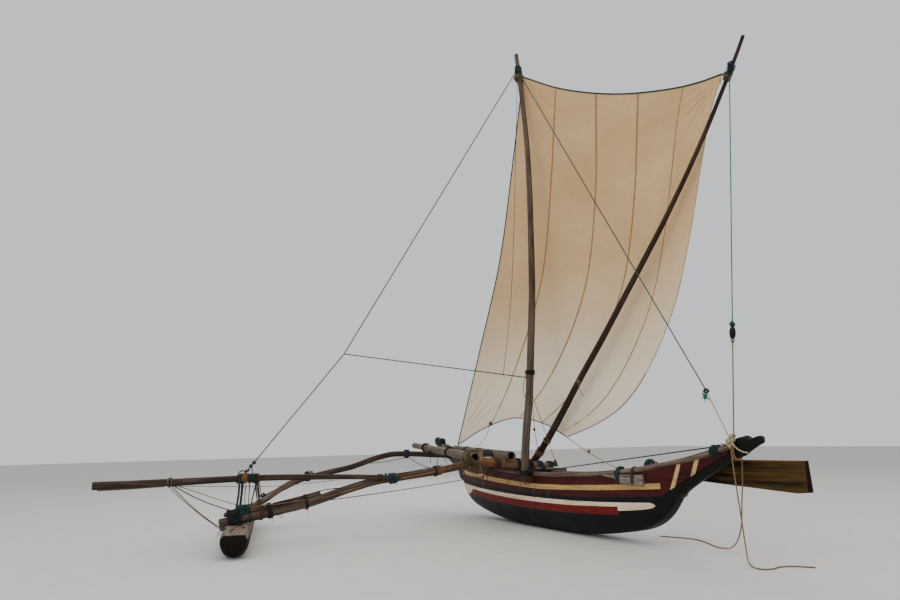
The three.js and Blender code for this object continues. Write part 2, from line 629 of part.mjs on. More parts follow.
// The lashing round the near head's neck, and the neck inside it
function neckLashing(swell) {
  const { x, width, low, high } = NECK;
  const half = HEAD_HALF_WIDTH + LASHING + swell;
  return box([x, 0, (low + high) / 2], [width + 2 * swell, 2 * half, high - low + 2 * swell]);
}

function neckCore() {
  const { x, width, top } = NECK;
  return hullBody(-GAP).intersect(box([x, 0, top / 2], [3 * width, ACROSS, top]));
}

function buildLashings() {
  for (const [name, inner, centre, direction, width] of WRAPPINGS) {
    let body = wrapping(inner, centre, direction, width);
    if (name === 'mast_foot_lashing') {
      body = body.subtract(pole(TIMBERS.gunwale_windward, GAP));
    }
    if (name === 'sprit_head_lashing') {
      const corner = rope(SAIL_CORNER, STROP_RADIUS).subtract(sailSheet(CLOTH + 2 * GAP));
      body = body.add(corner.subtract(pole(TIMBERS.sprit, GAP)));
    }
    place(name, body, name === 'near_boom_splice' ? MATERIALS.coir : MATERIALS.rope);
  }
  place('near_head_lashing', neckLashing(0).subtract(neckCore()), MATERIALS.coir);
}

// Main stays and strops: name, radius, points and what their ends are cut by
function buildStays() {
  const mastHead = wrapped('mast_head_lashing');
  const spritHead = wrapped('sprit_head_lashing');
  const mast = pole(TIMBERS.mast, GAP);
  const longPole = pole(TIMBERS.long_pole, GAP);
  const nearHead = neckLashing(GAP);
  const kink = [-449, -3615, 2930];
  const windward = [[70, -385, 8470], kink, [-712, -5115, 1035]];
  const fore = [[168, -362, 8330], [3729, -10, 2102], [4110, -52, 1418]];
  const stays = [
    ['windward_stay', rope(windward), [mastHead, longPole]],
    ['mast_guy', rope([kink, [70, -362, 2565]]), [rope(windward, STAY_RADIUS + GAP), mast]],
    ['fore_stay', rope(fore), [mastHead, mast, nearHead]],
    ['sprit_guy', rope([[4420, 218, 6360], [4110, -22, 1415]]), [spritHead, nearHead]],
    ['float_strop_near', rope([[-700, -5100, 1000], [-500, -5180, 440]], STROP_RADIUS),
      [longPole, pole(TIMBERS.near_boom, GAP), pole(TIMBERS.near_boom_top_pole, GAP)]],
    ['float_strop_far', rope([[-680, -4900, 1000], [-2790, -4560, 415]], STROP_RADIUS),
      [longPole, pole(TIMBERS.far_boom_lower_pole, GAP)]],
    ['sail_tack_line', rope([[-3532, 49, 1394], [-3532, railY(3532), 1230]]),
      [sailSheet(CLOTH + 2 * GAP), pole(TIMBERS.gunwale_leeward, GAP)]],
    ['sail_sheet_line', rope([[94, 360, 1527], [2130, -railY(2130), sheerZ(2130)]]),
      [sailSheet(CLOTH + 2 * GAP), pole(TIMBERS.gunwale_windward, GAP)]],
  ];
  for (const [name, line, cutters] of stays) {
    const cut = cutters.reduce((body, cutter) => body.subtract(cutter), line);
    place(name, cut, MATERIALS.rope);
  }
}

// Two rope tails from the near head down to the ground and along it
const TAILS = {
  rope_tail_1: [
    [4122, 87.3, 1330], [4105, 95, 1180], [4082, 105, 1000], [4000, 140, 650], [3925, 190, 420],
    [3720, 335, 205], [3520, 470, 85], [3340, 560, 22], [3180, 560, 12], [2980, 650, 10],
    [2790, 758, 10], [2406, 880, 10], [1881, 711, 10],
  ],
  rope_tail_2: [
    [4122, -87.3, 1330], [4130, -96, 1180], [4142, -60, 615], [4160, -40, 148], [4178, -50, 50],
    [4230, -90, 14], [4310, -150, 10], [4420, -240, 10], [4560, -250, 10], [4600, -120, 10],
    [4560, 30, 10], [4620, 190, 10], [4800, 330, 10],
  ],
};
const TAIL_STEPS = 40;

function buildTails() {
  for (const [name, points] of Object.entries(TAILS)) {
    const extrudePath = smooth(points);
    const circle = new THREE.Path().absarc(0, 0, TAIL_RADIUS, 0, 2 * Math.PI);
    const section = new THREE.Shape(circle.getPoints(2));
    const options = { steps: TAIL_STEPS, bevelEnabled: false, extrudePath };
    place(name, solid(new THREE.ExtrudeGeometry(section, options)), MATERIALS.coir);
  }
}

buildHull();
buildRails();
buildThwarts();
buildFloat();
buildTimbers();
buildBlocks();
buildSail();
buildOar();
buildLashings();
buildStays();
buildTails();

export default canoe;
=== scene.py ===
import math
import random

import bmesh
import bpy
import numpy as np
from mathutils import Matrix, Vector, noise


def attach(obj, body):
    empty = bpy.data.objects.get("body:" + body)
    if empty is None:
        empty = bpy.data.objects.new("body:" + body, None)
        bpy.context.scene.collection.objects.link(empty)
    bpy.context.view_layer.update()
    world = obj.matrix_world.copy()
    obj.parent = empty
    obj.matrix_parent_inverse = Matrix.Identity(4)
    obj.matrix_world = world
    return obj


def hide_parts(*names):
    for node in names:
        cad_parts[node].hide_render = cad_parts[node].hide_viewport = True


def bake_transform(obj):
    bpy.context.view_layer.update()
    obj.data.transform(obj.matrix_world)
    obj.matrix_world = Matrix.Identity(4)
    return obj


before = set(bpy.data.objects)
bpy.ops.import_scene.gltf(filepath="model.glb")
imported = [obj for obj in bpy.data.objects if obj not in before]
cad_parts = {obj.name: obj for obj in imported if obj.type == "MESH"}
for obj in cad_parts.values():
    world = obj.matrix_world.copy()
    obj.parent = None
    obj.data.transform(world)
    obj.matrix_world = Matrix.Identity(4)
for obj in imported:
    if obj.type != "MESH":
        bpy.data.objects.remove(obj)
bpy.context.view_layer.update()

# Camera
CAMERA_AT = (10.5, -7.23, 1.55)
CAMERA_YAW = math.radians(27.0)
CAMERA_PITCH = math.radians(11.15)
CAMERA_ROLL = math.radians(1.09)
CAMERA_LENS = 28.0

# Hull, as in the frame
KNEE_X = 3.1
STEM_TYPE_X = 3.3
KEEL_FLAT_X, KEEL_ROCKER = 0.5, 0.057
FOREFOOT_X, FOREFOOT_RISE = 2.25, 0.287
DUGOUT_WALL, DUGOUT_HOLLOW_X = 0.036, 2.78
STRAKE_WALL, STRAKE_END_X = 0.028, 4.03
SEAM_Z, SEAM_CURVE = 0.54, 0.017
SHEER_Z, SHEER_CURVE, SHEER_LIFT = 0.91, 0.0202, 0.0005
# Half breadths amidships, where each runs out along X, power of its taper
SHEER_BREADTH = (0.25, 4.565, 2.6)
SEAM_BREADTH = (0.318, 3.7, 3)
WIDE_BREADTH = (0.35, 3.35, 3.2)
STEM_HALF = 0.062
RAIL_RADIUS = 0.038
STEM_LINE = np.array([
    (3.1, 0.672), (3.28, 0.798), (3.47, 0.906), (3.8, 1.074), (4.115, 1.222), (4.176, 1.243), (4.262, 1.27),
    (4.311, 1.303), (4.375, 1.345), (4.453, 1.386), (4.53, 1.418), (4.55, 1.45),
])
HEAD_TOPS = {
    "near": np.array([
        (4.15, 1.385), (4.158, 1.475), (4.175, 1.49), (4.258, 1.503), (4.3, 1.514), (4.325, 1.508),
        (4.35, 1.484), (4.385, 1.48), (4.45, 1.498), (4.497, 1.511), (4.53, 1.498), (4.545, 1.472),
        (4.55, 1.456)]),
    "far": np.array([
        (4.15, 1.385), (4.162, 1.5), (4.175, 1.54), (4.2, 1.552), (4.25, 1.538), (4.32, 1.538),
        (4.37, 1.56), (4.415, 1.577), (4.45, 1.562), (4.53, 1.5), (4.55, 1.468)]),
}
BAND_TOP = np.array([
    (2.86, 0.692), (2.94, 0.718), (3.06, 0.8), (3.25, 0.91), (3.39, 0.985), (3.57, 1.077), (3.91, 1.236),
    (4.03, 1.289), (4.14, 1.345),
])
RISES = np.array([0, 0.04, 0.09, 0.16, 0.25, 0.38, 0.56, 0.76, 1])
THWART_XS = (-1.95, 0.95, 2.35)
THWART_DROP, THWART_HALF_WIDTH, THWART_HALF_THICK = 0.15, 0.075, 0.014
SHARP_ANGLE = math.radians(50)
STRAND_LAY = 5.0


def colour(text):
    """A hex colour as linear red, green, blue and alpha."""
    parts = [int(text[i:i + 2], 16) / 255 for i in (0, 2, 4)]
    return (*[c / 12.92 if c <= 0.04045 else ((c + 0.055) / 1.055) ** 2.4 for c in parts], 1.0)


# Curves and meshes
def catmull(points, t):
    """Points of a centripetal Catmull-Rom curve at the shares t, which count its segments evenly."""
    p = np.asarray(points, float)
    if len(p) == 2:
        return p[0] + np.outer(t, p[1] - p[0])
    p = np.vstack([2 * p[0] - p[1], p, 2 * p[-1] - p[-2]])
    place = np.clip(np.asarray(t) * (len(p) - 3), 0, len(p) - 3 - 1e-9)
    k = place.astype(int)
    w = (place - k)[:, None]
    a, b, c, d = p[k], p[k + 1], p[k + 2], p[k + 3]
    ta, tb, tc = (np.maximum(np.linalg.norm(m - n, axis=1), 1e-6)[:, None] ** 0.5
                  for m, n in ((b, a), (c, b), (d, c)))
    m1 = ((b - a) / ta - (c - a) / (ta + tb) + (c - b) / tb) * tb
    m2 = ((c - b) / tb - (d - b) / (tb + tc) + (d - c) / tc) * tb
    return ((2 * w**3 - 3 * w**2 + 1) * b + (w**3 - 2 * w**2 + w) * m1
            + (3 * w**2 - 2 * w**3) * c + (w**3 - w**2) * m2)


def lengths(path):
    return np.concatenate([[0], np.cumsum(np.linalg.norm(np.diff(path, axis=0), axis=1))])


def even_steps(path, step):
    """The path's points, moved along it to even steps of about step."""
    along = lengths(path)
    even = np.linspace(0, along[-1], max(2, int(round(along[-1] / step)) + 1))
    return np.stack([np.interp(even, along, path[:, i]) for i in range(3)], 1)


def spline(points, step):
    """The curve through points."""
    return even_steps(catmull(points, np.linspace(0, 1, 24 * (len(points) - 1) + 1)), step)


def polyline(points, step):
    """Straight lengths from point to point."""
    return even_steps(np.asarray(points, float), step)


def sagging(start, end, sag, step=0.05):
    """A line from start to end that hangs by sag in the middle."""
    across = np.subtract(end, start)
    t = np.linspace(0, 1, max(3, int(np.linalg.norm(across) / step) + 1))
    path = np.asarray(start) + np.outer(t, across)
    path[:, 2] -= 4 * sag * t * (1 - t)
    return path


def turning_frames(path):
    """Along, side and over directions at each point, with no twist from one to the next."""
    along = np.gradient(path, axis=0)
    along /= np.linalg.norm(along, axis=1)[:, None]
    side = np.cross(along[0], (1, 0, 0) if abs(along[0][2]) > 0.8 else (0, 0, 1))
    sides = []
    for t in along:
        side = side - t * side.dot(t)
        side = side / np.linalg.norm(side)
        sides.append(side)
    sides = np.array(sides)
    return along, sides, np.cross(sides, along)


def make(name, verts, faces, looks, body="canoe", nodes=(), slot=None, grain=None, marks=None):
    """An object with its materials, riding on a body. marks gives each face's material."""
    mesh = bpy.data.meshes.new(name)
    mesh.from_pydata([tuple(map(float, v)) for v in verts], [], [tuple(map(int, f)) for f in faces])
    mesh.validate()
    looks = looks if isinstance(looks, (list, tuple)) else [looks]
    for look in looks:
        mesh.materials.append(look)
    if marks is not None:
        mesh.polygons.foreach_set("material_index", np.asarray(marks, dtype=np.int32))
    if grain is not None:
        data = mesh.attributes.new("grain", "FLOAT_VECTOR", "POINT")
        data.data.foreach_set("vector", np.asarray(grain, dtype=np.float32).ravel())
    mesh.shade_smooth()
    mesh.set_sharp_from_angle(angle=SHARP_ANGLE)
    obj = bpy.data.objects.new(name, mesh)
    bpy.context.scene.collection.objects.link(obj)
    if body:
        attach(obj, body)
    if nodes:
        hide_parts(*nodes)
    return obj


def strip_faces(rows, columns, closed=True):
    """Quads between rows of equally many points; closed joins the last column to the first."""
    i = np.arange(rows - 1)[:, None] * columns
    j = np.arange(columns if closed else columns - 1)[None, :]
    k = (j + 1) % columns
    return np.stack([i + j, i + k, i + k + columns, i + j + columns], -1).reshape(-1, 4)


def capped_faces(rows, columns):
    """Quads round a body of closed rows, then a face over its first row and one over its last."""
    last = (rows - 1) * columns
    caps = [tuple(range(columns - 1, -1, -1)), tuple(range(last, last + columns))]
    return list(map(tuple, strip_faces(rows, columns))) + caps


class Shape:
    """Points and faces gathered from several parts, as one mesh."""

    def __init__(self):
        self.verts, self.faces, self.grain, self.marks, self.count = [], [], [], [], 0

    def add(self, verts, faces, grain=None, mark=0):
        verts = np.asarray(verts, float)
        self.verts.append(verts)
        self.grain.append(verts if grain is None else grain)
        self.faces += [tuple(int(i) + self.count for i in f) for f in faces]
        self.marks += [mark] * len(faces)
        self.count += len(verts)

    def tube(self, path, radius, sides=12, relief=None, ends=((), ()), mark=0, cap_mark=None, lobes=0):
        """A round body along path. ends gives for each end rings further out: distance, share of radius."""
        path = np.asarray(path, float)
        along, side, over = turning_frames(path)
        radius = np.broadcast_to(np.asarray(radius, float), (len(path),)).copy()
        run = lengths(path)
        for at, sign, rings in ((0, -1, ends[0]), (-1, 1, ends[1])):
            if not rings:
                continue
            rings = rings[::sign]
            added = [
                np.array([path[at] + sign * out * along[at] for out, _ in rings]),
                np.array([radius[at] * share for _, share in rings]),
                np.array([run[at] + sign * abs(out) for out, _ in rings]),
                *(np.repeat(f[at][None], len(rings), 0) for f in (along, side, over)),
            ]
            kept = [path, radius, run, along, side, over]
            path, radius, run, along, side, over = (
                np.concatenate(pair[::-sign]) for pair in zip(added, kept))
        angle = np.linspace(0, 2 * math.pi, sides, endpoint=False)
        reach = np.repeat(radius[:, None], sides, 1)
        if relief is not None:
            reach = reach * relief(run, angle)
        if lobes:
            twist = angle[None, :] - (run / (STRAND_LAY * radius.max() * 2))[:, None] * 2 * math.pi
            reach = reach * (0.8 + 0.2 * np.abs(np.cos(lobes * twist / 2)))
        ring = (np.cos(angle)[None, :, None] * side[:, None] + np.sin(angle)[None, :, None] * over[:, None])
        verts = (path[:, None] + ring * reach[:, :, None]).reshape(-1, 3)
        runs = np.repeat(run[:, None], sides, 1)
        grain = np.stack([runs, reach * np.cos(angle), reach * np.sin(angle)], -1).reshape(-1, 3)
        self.add(verts, capped_faces(len(path), sides), grain, mark)
        if cap_mark is not None:
            self.marks[-2:] = [cap_mark] * 2
        return self

    def make(self, name, looks, **options):
        verts, grain = np.vstack(self.verts), np.vstack(self.grain)
        return make(name, verts, self.faces, looks, grain=grain, marks=self.marks, **options)


def lumps(seed, size, amount, stretch=0.25):
    """Uneven thickness of a natural pole: a relief for a tube."""
    def relief(run, angle):
        out = np.ones((len(run), len(angle)))
        for i, s in enumerate(run):
            for j, a in enumerate(angle):
                spot = Vector((s * stretch / size, math.cos(a) * 0.7 + seed, math.sin(a) * 0.7))
                fine = Vector((s * stretch * 4 / size, math.cos(a) * 2 + seed, math.sin(a) * 2))
                out[i, j] += amount * noise.noise(spot) + amount * 0.3 * noise.noise(fine)
        return out
    return relief


def joints_of_bamboo(seed, spacing, amount=0.05, lump=0.03):
    """Ringed nodes of a bamboo, each a groove between two low ridges."""
    def relief(run, angle):
        base = lumps(seed, 0.3, lump)(run, angle)
        start = spacing * (0.35 + 0.3 * math.sin(seed))
        k = np.round((run - start) / spacing)
        away = (run - start - k * spacing)[:, None]
        ridge = np.exp(-(away / 0.012) ** 2) - 0.55 * np.exp(-((away - 0.014) / 0.006) ** 2)
        return base + amount * ridge
    return relief


# Node trees
class Look:
    """A material and short calls that add nodes to it."""

    def __init__(self, name, roughness=0.8, **sockets):
        self.material = bpy.data.materials.new(name)
        self.material.use_nodes = True
        self.tree = self.material.node_tree
        self.shader = self.tree.nodes["Principled BSDF"]
        self.shader.inputs["Roughness"].default_value = roughness
        for key, value in sockets.items():
            self.shader.inputs[key.replace("_", " ")].default_value = value

    def node(self, kind, inputs=(), **settings):
        node = self.tree.nodes.new(kind)
        for key, value in settings.items():
            setattr(node, key, value)
        for key, value in dict(inputs).items():
            self.put(node.inputs[key], value)
        return node

    def put(self, socket, value):
        if isinstance(value, bpy.types.NodeSocket):
            self.tree.links.new(value, socket)
        else:
            socket.default_value = value

    def math(self, operation, *values, clamp=False):
        return self.node("ShaderNodeMath", enumerate(values), operation=operation, use_clamp=clamp).outputs[0]

    def plus(self, a, b):
        return self.math("ADD", a, b)

    def less(self, a, b):
        return self.math("SUBTRACT", a, b)

    def times(self, a, b):
        return self.math("MULTIPLY", a, b)

    def line(self, value, slope, start):
        """value times slope, plus start."""
        return self.math("MULTIPLY_ADD", value, slope, start)

    def place(self):
        return self.node("ShaderNodeTexCoord").outputs["Object"]

    def grain(self):
        return self.node("ShaderNodeAttribute", attribute_name="grain").outputs["Vector"]

    def axes(self, vector):
        return self.node("ShaderNodeSeparateXYZ", {0: vector}).outputs

    def noise(self, vector, scale, detail=3.0, rough=0.55, twist=0.0):
        inputs = {"Vector": vector, "Scale": scale, "Detail": detail, "Roughness": rough, "Distortion": twist}
        return self.node("ShaderNodeTexNoise", inputs).outputs[0]

    def streaks(self, vector, stretch, detail=3.0, rough=0.55, twist=0.0):
        """Noise of the vector times stretch: the smaller a factor, the longer the streaks along that axis."""
        scaled = self.node("ShaderNodeVectorMath", {0: vector, 1: stretch}, operation="MULTIPLY").outputs[0]
        return self.noise(scaled, 1.0, detail, rough, twist)

    def steps(self, value, low, high):
        """0 below low, 1 above high."""
        inputs = {0: value, 1: low, 2: high}
        return self.node("ShaderNodeMapRange", inputs, interpolation_type="SMOOTHSTEP").outputs[0]

    def mix(self, share, a, b):
        node = self.node("ShaderNodeMix", data_type="RGBA")
        self.put(node.inputs[0], share)
        self.put(node.inputs[6], a)
        self.put(node.inputs[7], b)
        return node.outputs[2]

    def ramp(self, value, *stops):
        node = self.node("ShaderNodeValToRGB", {0: value})
        elements = node.color_ramp.elements
        while len(elements) < len(stops):
            elements.new(0.5)
        for element, (at, shade) in zip(elements, stops):
            element.position = at
            element.color = colour(shade)
        return node.outputs[0]

    def finish(self, shade, height=None, bump=0.4, depth=0.004, rough=None):
        self.put(self.shader.inputs["Base Color"], shade)
        if rough is not None:
            self.put(self.shader.inputs["Roughness"], rough)
        if height is not None:
            normal = self.node("ShaderNodeBump", {"Strength": bump, "Distance": depth, "Height": height})
            self.put(self.shader.inputs["Normal"], normal.outputs[0])
        return self.material


def wood(name, dark, mid, light, grey, worn):
    """Weathered timber: long grain, dark checks, pale dry faces and stains."""
    look = Look(name, 0.85, Specular_IOR_Level=0.25)
    along = look.grain()
    fibre = look.streaks(along, (1.6, 38, 38), 5, 0.6, 0.3)
    broad = look.streaks(along, (1.3, 7, 7), 3, 0.55, 0.4)
    checks = look.streaks(along, (3.0, 60, 60), 2, 0.5, 0.2)
    stain = look.noise(look.place(), 2.3, 4, 0.6)
    base = look.ramp(fibre, (0.3, dark), (0.5, mid), (0.72, light))
    dry = look.mix(look.times(look.steps(broad, 0.45, 0.7), grey), base, colour(worn))
    dim = look.mix(look.steps(stain, 0.58, 0.75), dry, look.mix(0.65, dry, colour(dark)))
    crack = look.steps(checks, 0.36, 0.3)
    shade = look.mix(look.times(crack, 0.8), dim, colour("0e0a08"))
    height = look.less(look.times(fibre, 0.6), look.times(crack, 0.9))
    return look.finish(shade, height, 0.55, 0.006)


def board_look(name):
    """The steering board: brown with long dark streaks, a top edge painted lighter and redder as a painted
    highlight, and a dark end.
    """
    look = Look(name, 0.85, Specular_IOR_Level=0.2)
    along = look.grain()
    x, _, z = look.axes(look.place())
    fibre = look.streaks(along, (1.1, 30, 30), 5, 0.6, 0.3)
    streaks = look.streaks(along, (0.7, 13, 13), 3, 0.6, 0.9)
    base = look.ramp(fibre, (0.28, "1d1307"), (0.5, "3d2b11"), (0.75, "5c441f"))
    streaked = look.mix(look.steps(streaks, 0.5, 0.4), base, look.mix(0.8, base, colour("0c0703")))
    # painted highlight: the top edge, which faces the sky, is painted lighter and redder
    edge = look.steps(look.line(fibre, 0.01, z), 1.193, 1.201)
    top_highlighted = look.mix(edge, streaked, look.ramp(fibre, (0.3, "4a2f18"), (0.7, "7a5432")))
    end = look.steps(look.line(fibre, 0.02, x), 4.886, 4.9)
    shade = look.mix(end, top_highlighted, colour("0b0704"))
    return look.finish(shade, fibre, 0.5, 0.005)


def end_grain(name, dark, light):
    look = Look(name, 0.9)
    _, y, z = look.axes(look.grain())
    reach = look.math("SQRT", look.plus(look.times(y, y), look.times(z, z)))
    wobble = look.line(look.noise(look.grain(), 14, 3), 0.03, reach)
    rings = look.math("SINE", look.times(wobble, 900.0))
    shade = look.ramp(look.line(rings, 0.3, look.noise(look.grain(), 40, 4)), (0.2, dark), (0.8, light))
    return look.finish(shade, rings, 0.3, 0.002)


def bamboo(name, dark, mid, light):
    look = Look(name, 0.62, Specular_IOR_Level=0.3)
    along = look.grain()
    fibre = look.streaks(along, (1.2, 60, 60), 4, 0.6)
    blotch = look.streaks(along, (2.2, 6, 6), 4, 0.6, 0.6)
    base = look.ramp(fibre, (0.3, dark), (0.55, mid), (0.75, light))
    aged = look.mix(look.steps(blotch, 0.42, 0.62), base, look.mix(0.5, base, colour("655a4f")))
    stain = look.mix(look.steps(blotch, 0.42, 0.3), aged, look.mix(0.75, aged, colour("1e1612")))
    return look.finish(stain, fibre, 0.35, 0.002)


def rope_look(name, dark, light, frayed):
    """Laid rope: strands wind round it, with painted shade in the grooves between them."""
    look = Look(name, 0.92)
    along, y, z = look.axes(look.grain())
    turn = look.math("ARCTAN2", z, y)
    strands = look.math("SINE", look.line(turn, 3.0, look.times(along, 210.0)))
    hairs = look.streaks(look.grain(), (60, 300, 300), 3)
    mixed = look.math("MULTIPLY_ADD", strands, 0.22, hairs, clamp=True)
    # painted shade: the dark stop falls in the grooves between the strands
    shade = look.ramp(mixed, (0.25, dark), (0.7, light))
    patch = look.noise(look.place(), 3.1, 4, 0.6)
    worn = look.mix(look.steps(patch, 0.5, 0.72), shade, look.mix(0.55, shade, colour(frayed)))
    return look.finish(worn, mixed, 0.6, 0.003)


# Hull paints: stops of the streaks that a brush leaves
PAINTS = {
    "maroon": ((0.3, "260604"), (0.55, "3c0c08"), (0.8, "4e1812")),
    "cream": ((0.3, "8f6f40"), (0.55, "b39059"), (0.8, "c7a874")),
    "pale": ((0.3, "a3875a"), (0.55, "c4a574"), (0.8, "d8bd90")),
    "white": ((0.3, "a8937a"), (0.5, "dcc7a8"), (0.8, "ecdcc4")),
    "red": ((0.3, "450906"), (0.55, "620e09"), (0.8, "761a13")),
    "green": ((0.3, "030805"), (0.55, "060e09"), (0.8, "0e1a12")),
    "black": ((0.3, "020303"), (0.6, "050607"), (0.85, "0e0f10")),
    "bare": ((0.25, "201710"), (0.5, "3a2b20"), (0.8, "5a4737")),
}
PAINT_EDGE = 0.002
# The cream stripe: height of its upper edge amidships, its width, and where it ends
STRIPE_TOP, STRIPE_WIDTH, STRIPE_END_X = 0.745, 0.077, 2.91
# Leaning bars at the near end: x and z of the middle, lean, half width
BARS = ((3.1, 0.81, 0.47, 0.03), (3.438, 1.0, 0.58, 0.031))
# Bands from the top down: height amidships, rise with the square of x, paint below it
BANDS = ((0.588, 0.0145, "black"), (0.526, 0.0117, "white"), (0.4555, 0.0148, "red"))
WHITE_TOP, LEAF_GROUND_TOP = (0.526, 0.0117), (0.545, 0.0117)
BOTTOM_TOP = (0.3385, 0.0145)


class Paint(Look):
    """Brush paint on the hull: bands with slightly unsteady edges."""

    def __init__(self, name):
        super().__init__(name, 0.5, Specular_IOR_Level=0.18)
        self.x, _, self.z = self.axes(self.place())
        self.away = self.math("ABSOLUTE", self.x)
        self.wobble = self.line(self.noise(self.place(), 9.0, 4, 0.6), 0.012, -0.006)
        self.streak = self.streaks(self.place(), (1.2, 6, 26), 5, 0.65)
        self.tints = {name: self.ramp(self.streak, *stops) for name, stops in PAINTS.items()}
        self.shade = self.tints["black"]

    def positive(self, value):
        return self.steps(self.plus(value, self.wobble), -PAINT_EDGE, PAINT_EDGE)

    def below(self, middle, rise):
        """1 under a line at height middle amidships that rises with the square of x."""
        line = self.line(self.times(self.away, self.away), rise, middle)
        return self.less(1.0, self.positive(self.less(self.z, line)))

    def cover(self, tint, *masks):
        """Paint over what is there, where all the masks are 1."""
        share = masks[0]
        for mask in masks[1:]:
            share = self.times(share, mask)
        self.shade = self.mix(share, self.shade, tint)

    def add_stripe(self):
        rise = self.times(self.math("POWER", self.away, 1.5), 0.028)
        over = self.less(self.z, self.plus(rise, STRIPE_TOP))
        self.cover(
            self.tints["cream"], self.less(1.0, self.positive(over)),
            self.positive(self.plus(over, STRIPE_WIDTH)), self.positive(self.less(STRIPE_END_X, self.away)))

    def add_bars(self):
        for middle, height, lean, half in BARS:
            off = self.line(self.less(self.z, height), -lean, self.less(self.x, middle))
            self.cover(self.tints["pale"], self.positive(self.less(half, self.math("ABSOLUTE", off))))

    def add_bands(self):
        """The bands, then white leaves that close the red one at each end."""
        for middle, rise, tint in BANDS:
            self.cover(self.tints[tint], self.below(middle, rise))
        bottom = self.mix(self.steps(self.x, 0.9, 2.4), self.tints["green"], self.tints["black"])
        self.cover(bottom, self.below(*BOTTOM_TOP))
        ground, in_white = self.below(*LEAF_GROUND_TOP), self.below(*WHITE_TOP)
        near = self.positive(self.line(self.z, 0.25, self.less(self.x, 2.23)))
        self.cover(self.tints["black"], near, ground)
        tall = self.less(self.z, 0.572)
        tip = self.line(self.times(tall, tall), -55.0, 2.78)
        self.cover(self.tints["white"], near, in_white, self.over_curve(self.less(self.x, 2.13), 0.38, 0.405),
                   self.positive(self.less(tip, self.x)))
        slant = self.line(self.less(0.517, self.z), -1.7, -2.39)
        far = self.positive(self.less(slant, self.x))
        self.cover(bottom, far, ground)
        self.cover(self.tints["white"], far, in_white, self.over_curve(self.plus(self.x, 2.5), 0.25, 0.425))

    def over_curve(self, off, bend, low):
        """1 above a curve that is low where off is 0 and rises with its square."""
        return self.positive(self.less(self.z, self.line(self.times(off, off), bend, low)))

    def add_smears(self):
        """Tar rubbed over the white amidships."""
        rubbed = self.steps(self.streaks(self.place(), (9, 4, 3), 3), 0.56, 0.68)
        self.cover(colour("3a4046"), rubbed, self.steps(self.x, -1.4, -0.9), self.steps(self.x, 0.9, 0.4),
                   self.steps(self.z, 0.5, 0.52), 0.55)

    def wear(self):
        """Bare wood inside, grime in streaks, chips down to old paint."""
        inside = self.node("ShaderNodeAttribute", attribute_name="inside").outputs["Fac"]
        self.cover(self.tints["bare"], inside)
        mottle = self.noise(self.place(), 3.5, 5, 0.6)
        grime = self.mix(0.4, self.shade, colour("1c1712"))
        self.cover(grime, self.steps(mottle, 0.5, 0.75), 0.45)
        chips = self.steps(self.noise(self.place(), 26.0, 6, 0.7), 0.685, 0.70)
        self.cover(colour("574a3e"), chips, 0.4)
        height = self.less(self.times(self.streak, 0.5), self.times(chips, 0.7))
        return self.finish(self.shade, height, 0.3, 0.003, self.line(mottle, 0.35, 0.36))


def banded_paint(name):
    paint = Paint(name)
    paint.shade = paint.tints["maroon"]
    paint.add_stripe()
    paint.add_bars()
    paint.add_bands()
    paint.add_smears()
    return paint.wear()


def sail_look(name):
    look = Look(name, 0.9)
    look.shader.inputs["Sheen Weight"].default_value = 0.15
    cloth = look.grain()
    u, v, _ = look.axes(cloth)
    weave = look.times(look.math("SINE", look.times(u, 2600.0)),
                      look.math("SINE", look.times(v, 2600.0)))
    broad = look.noise(cloth, 0.8, 4, 0.55)
    fine = look.streaks(cloth, (18, 4, 1), 4, 0.6)
    base = look.ramp(broad, (0.3, "c09a68"), (0.55, "cba777"), (0.8, "d6b68b"))
    # painted light: the sail is painted paler towards its foot and clew, standing in for brighter light there
    down = look.line(u, 0.5, v)
    low = look.mix(look.steps(down, 3.9, 7.6), base, colour("eeddc2"))
    shade = look.mix(look.times(look.steps(fine, 0.5, 0.75), 0.25), low, colour("ae875a"))
    height = look.line(weave, 0.3, fine)
    return look.finish(shade, height, 0.15, 0.001)


def plain_cloth(name, dark, light):
    look = Look(name, 0.95)
    # painted shade of folds: a coarse noise darkens and lightens the cloth where folds would catch light and
    # shade
    fold_shade = look.noise(look.place(), 18, 4, 0.6)
    threads = look.noise(look.place(), 260, 2, 0.5)
    shade = look.ramp(look.line(threads, 0.3, fold_shade), (0.35, dark), (0.85, light))
    return look.finish(shade, threads, 0.4, 0.002)


def float_look(name):
    look = Look(name, 0.9, Specular_IOR_Level=0.2)
    along = look.grain()
    run, _, _ = look.axes(along)
    _, _, z = look.axes(look.place())
    fibre = look.streaks(along, (1.4, 30, 30), 6, 0.6, 0.4)
    checks = look.streaks(along, (1.6, 24, 24), 3, 0.5, 0.3)
    # painted shade: below its widest line, where the belly turns down, the float is painted near black; above
    # it, pale
    pale = look.ramp(fibre, (0.25, "3c3129"), (0.5, "6b5e50"), (0.78, "8d7f70"))
    dark = look.ramp(fibre, (0.25, "080504"), (0.6, "1a110d"), (0.8, "30241c"))
    edge = look.line(look.noise(look.place(), 6, 5, 0.65), 0.16, z)
    side = look.mix(look.steps(edge, 0.31, 0.37), dark, pale)
    # the sawn near end, which faces down and forward, is painted dark: painted shadow
    front = look.times(look.steps(run, 0.035, 0.02), look.steps(z, 0.345, 0.33))
    shade = look.mix(front, side, look.ramp(fibre, (0.3, "070403"), (0.7, "1c110c")))
    crack = look.steps(checks, 0.36, 0.31)
    shade = look.mix(look.times(crack, 0.85), shade, colour("080605"))
    height = look.less(fibre, crack)
    return look.finish(shade, height, 0.7, 0.008)


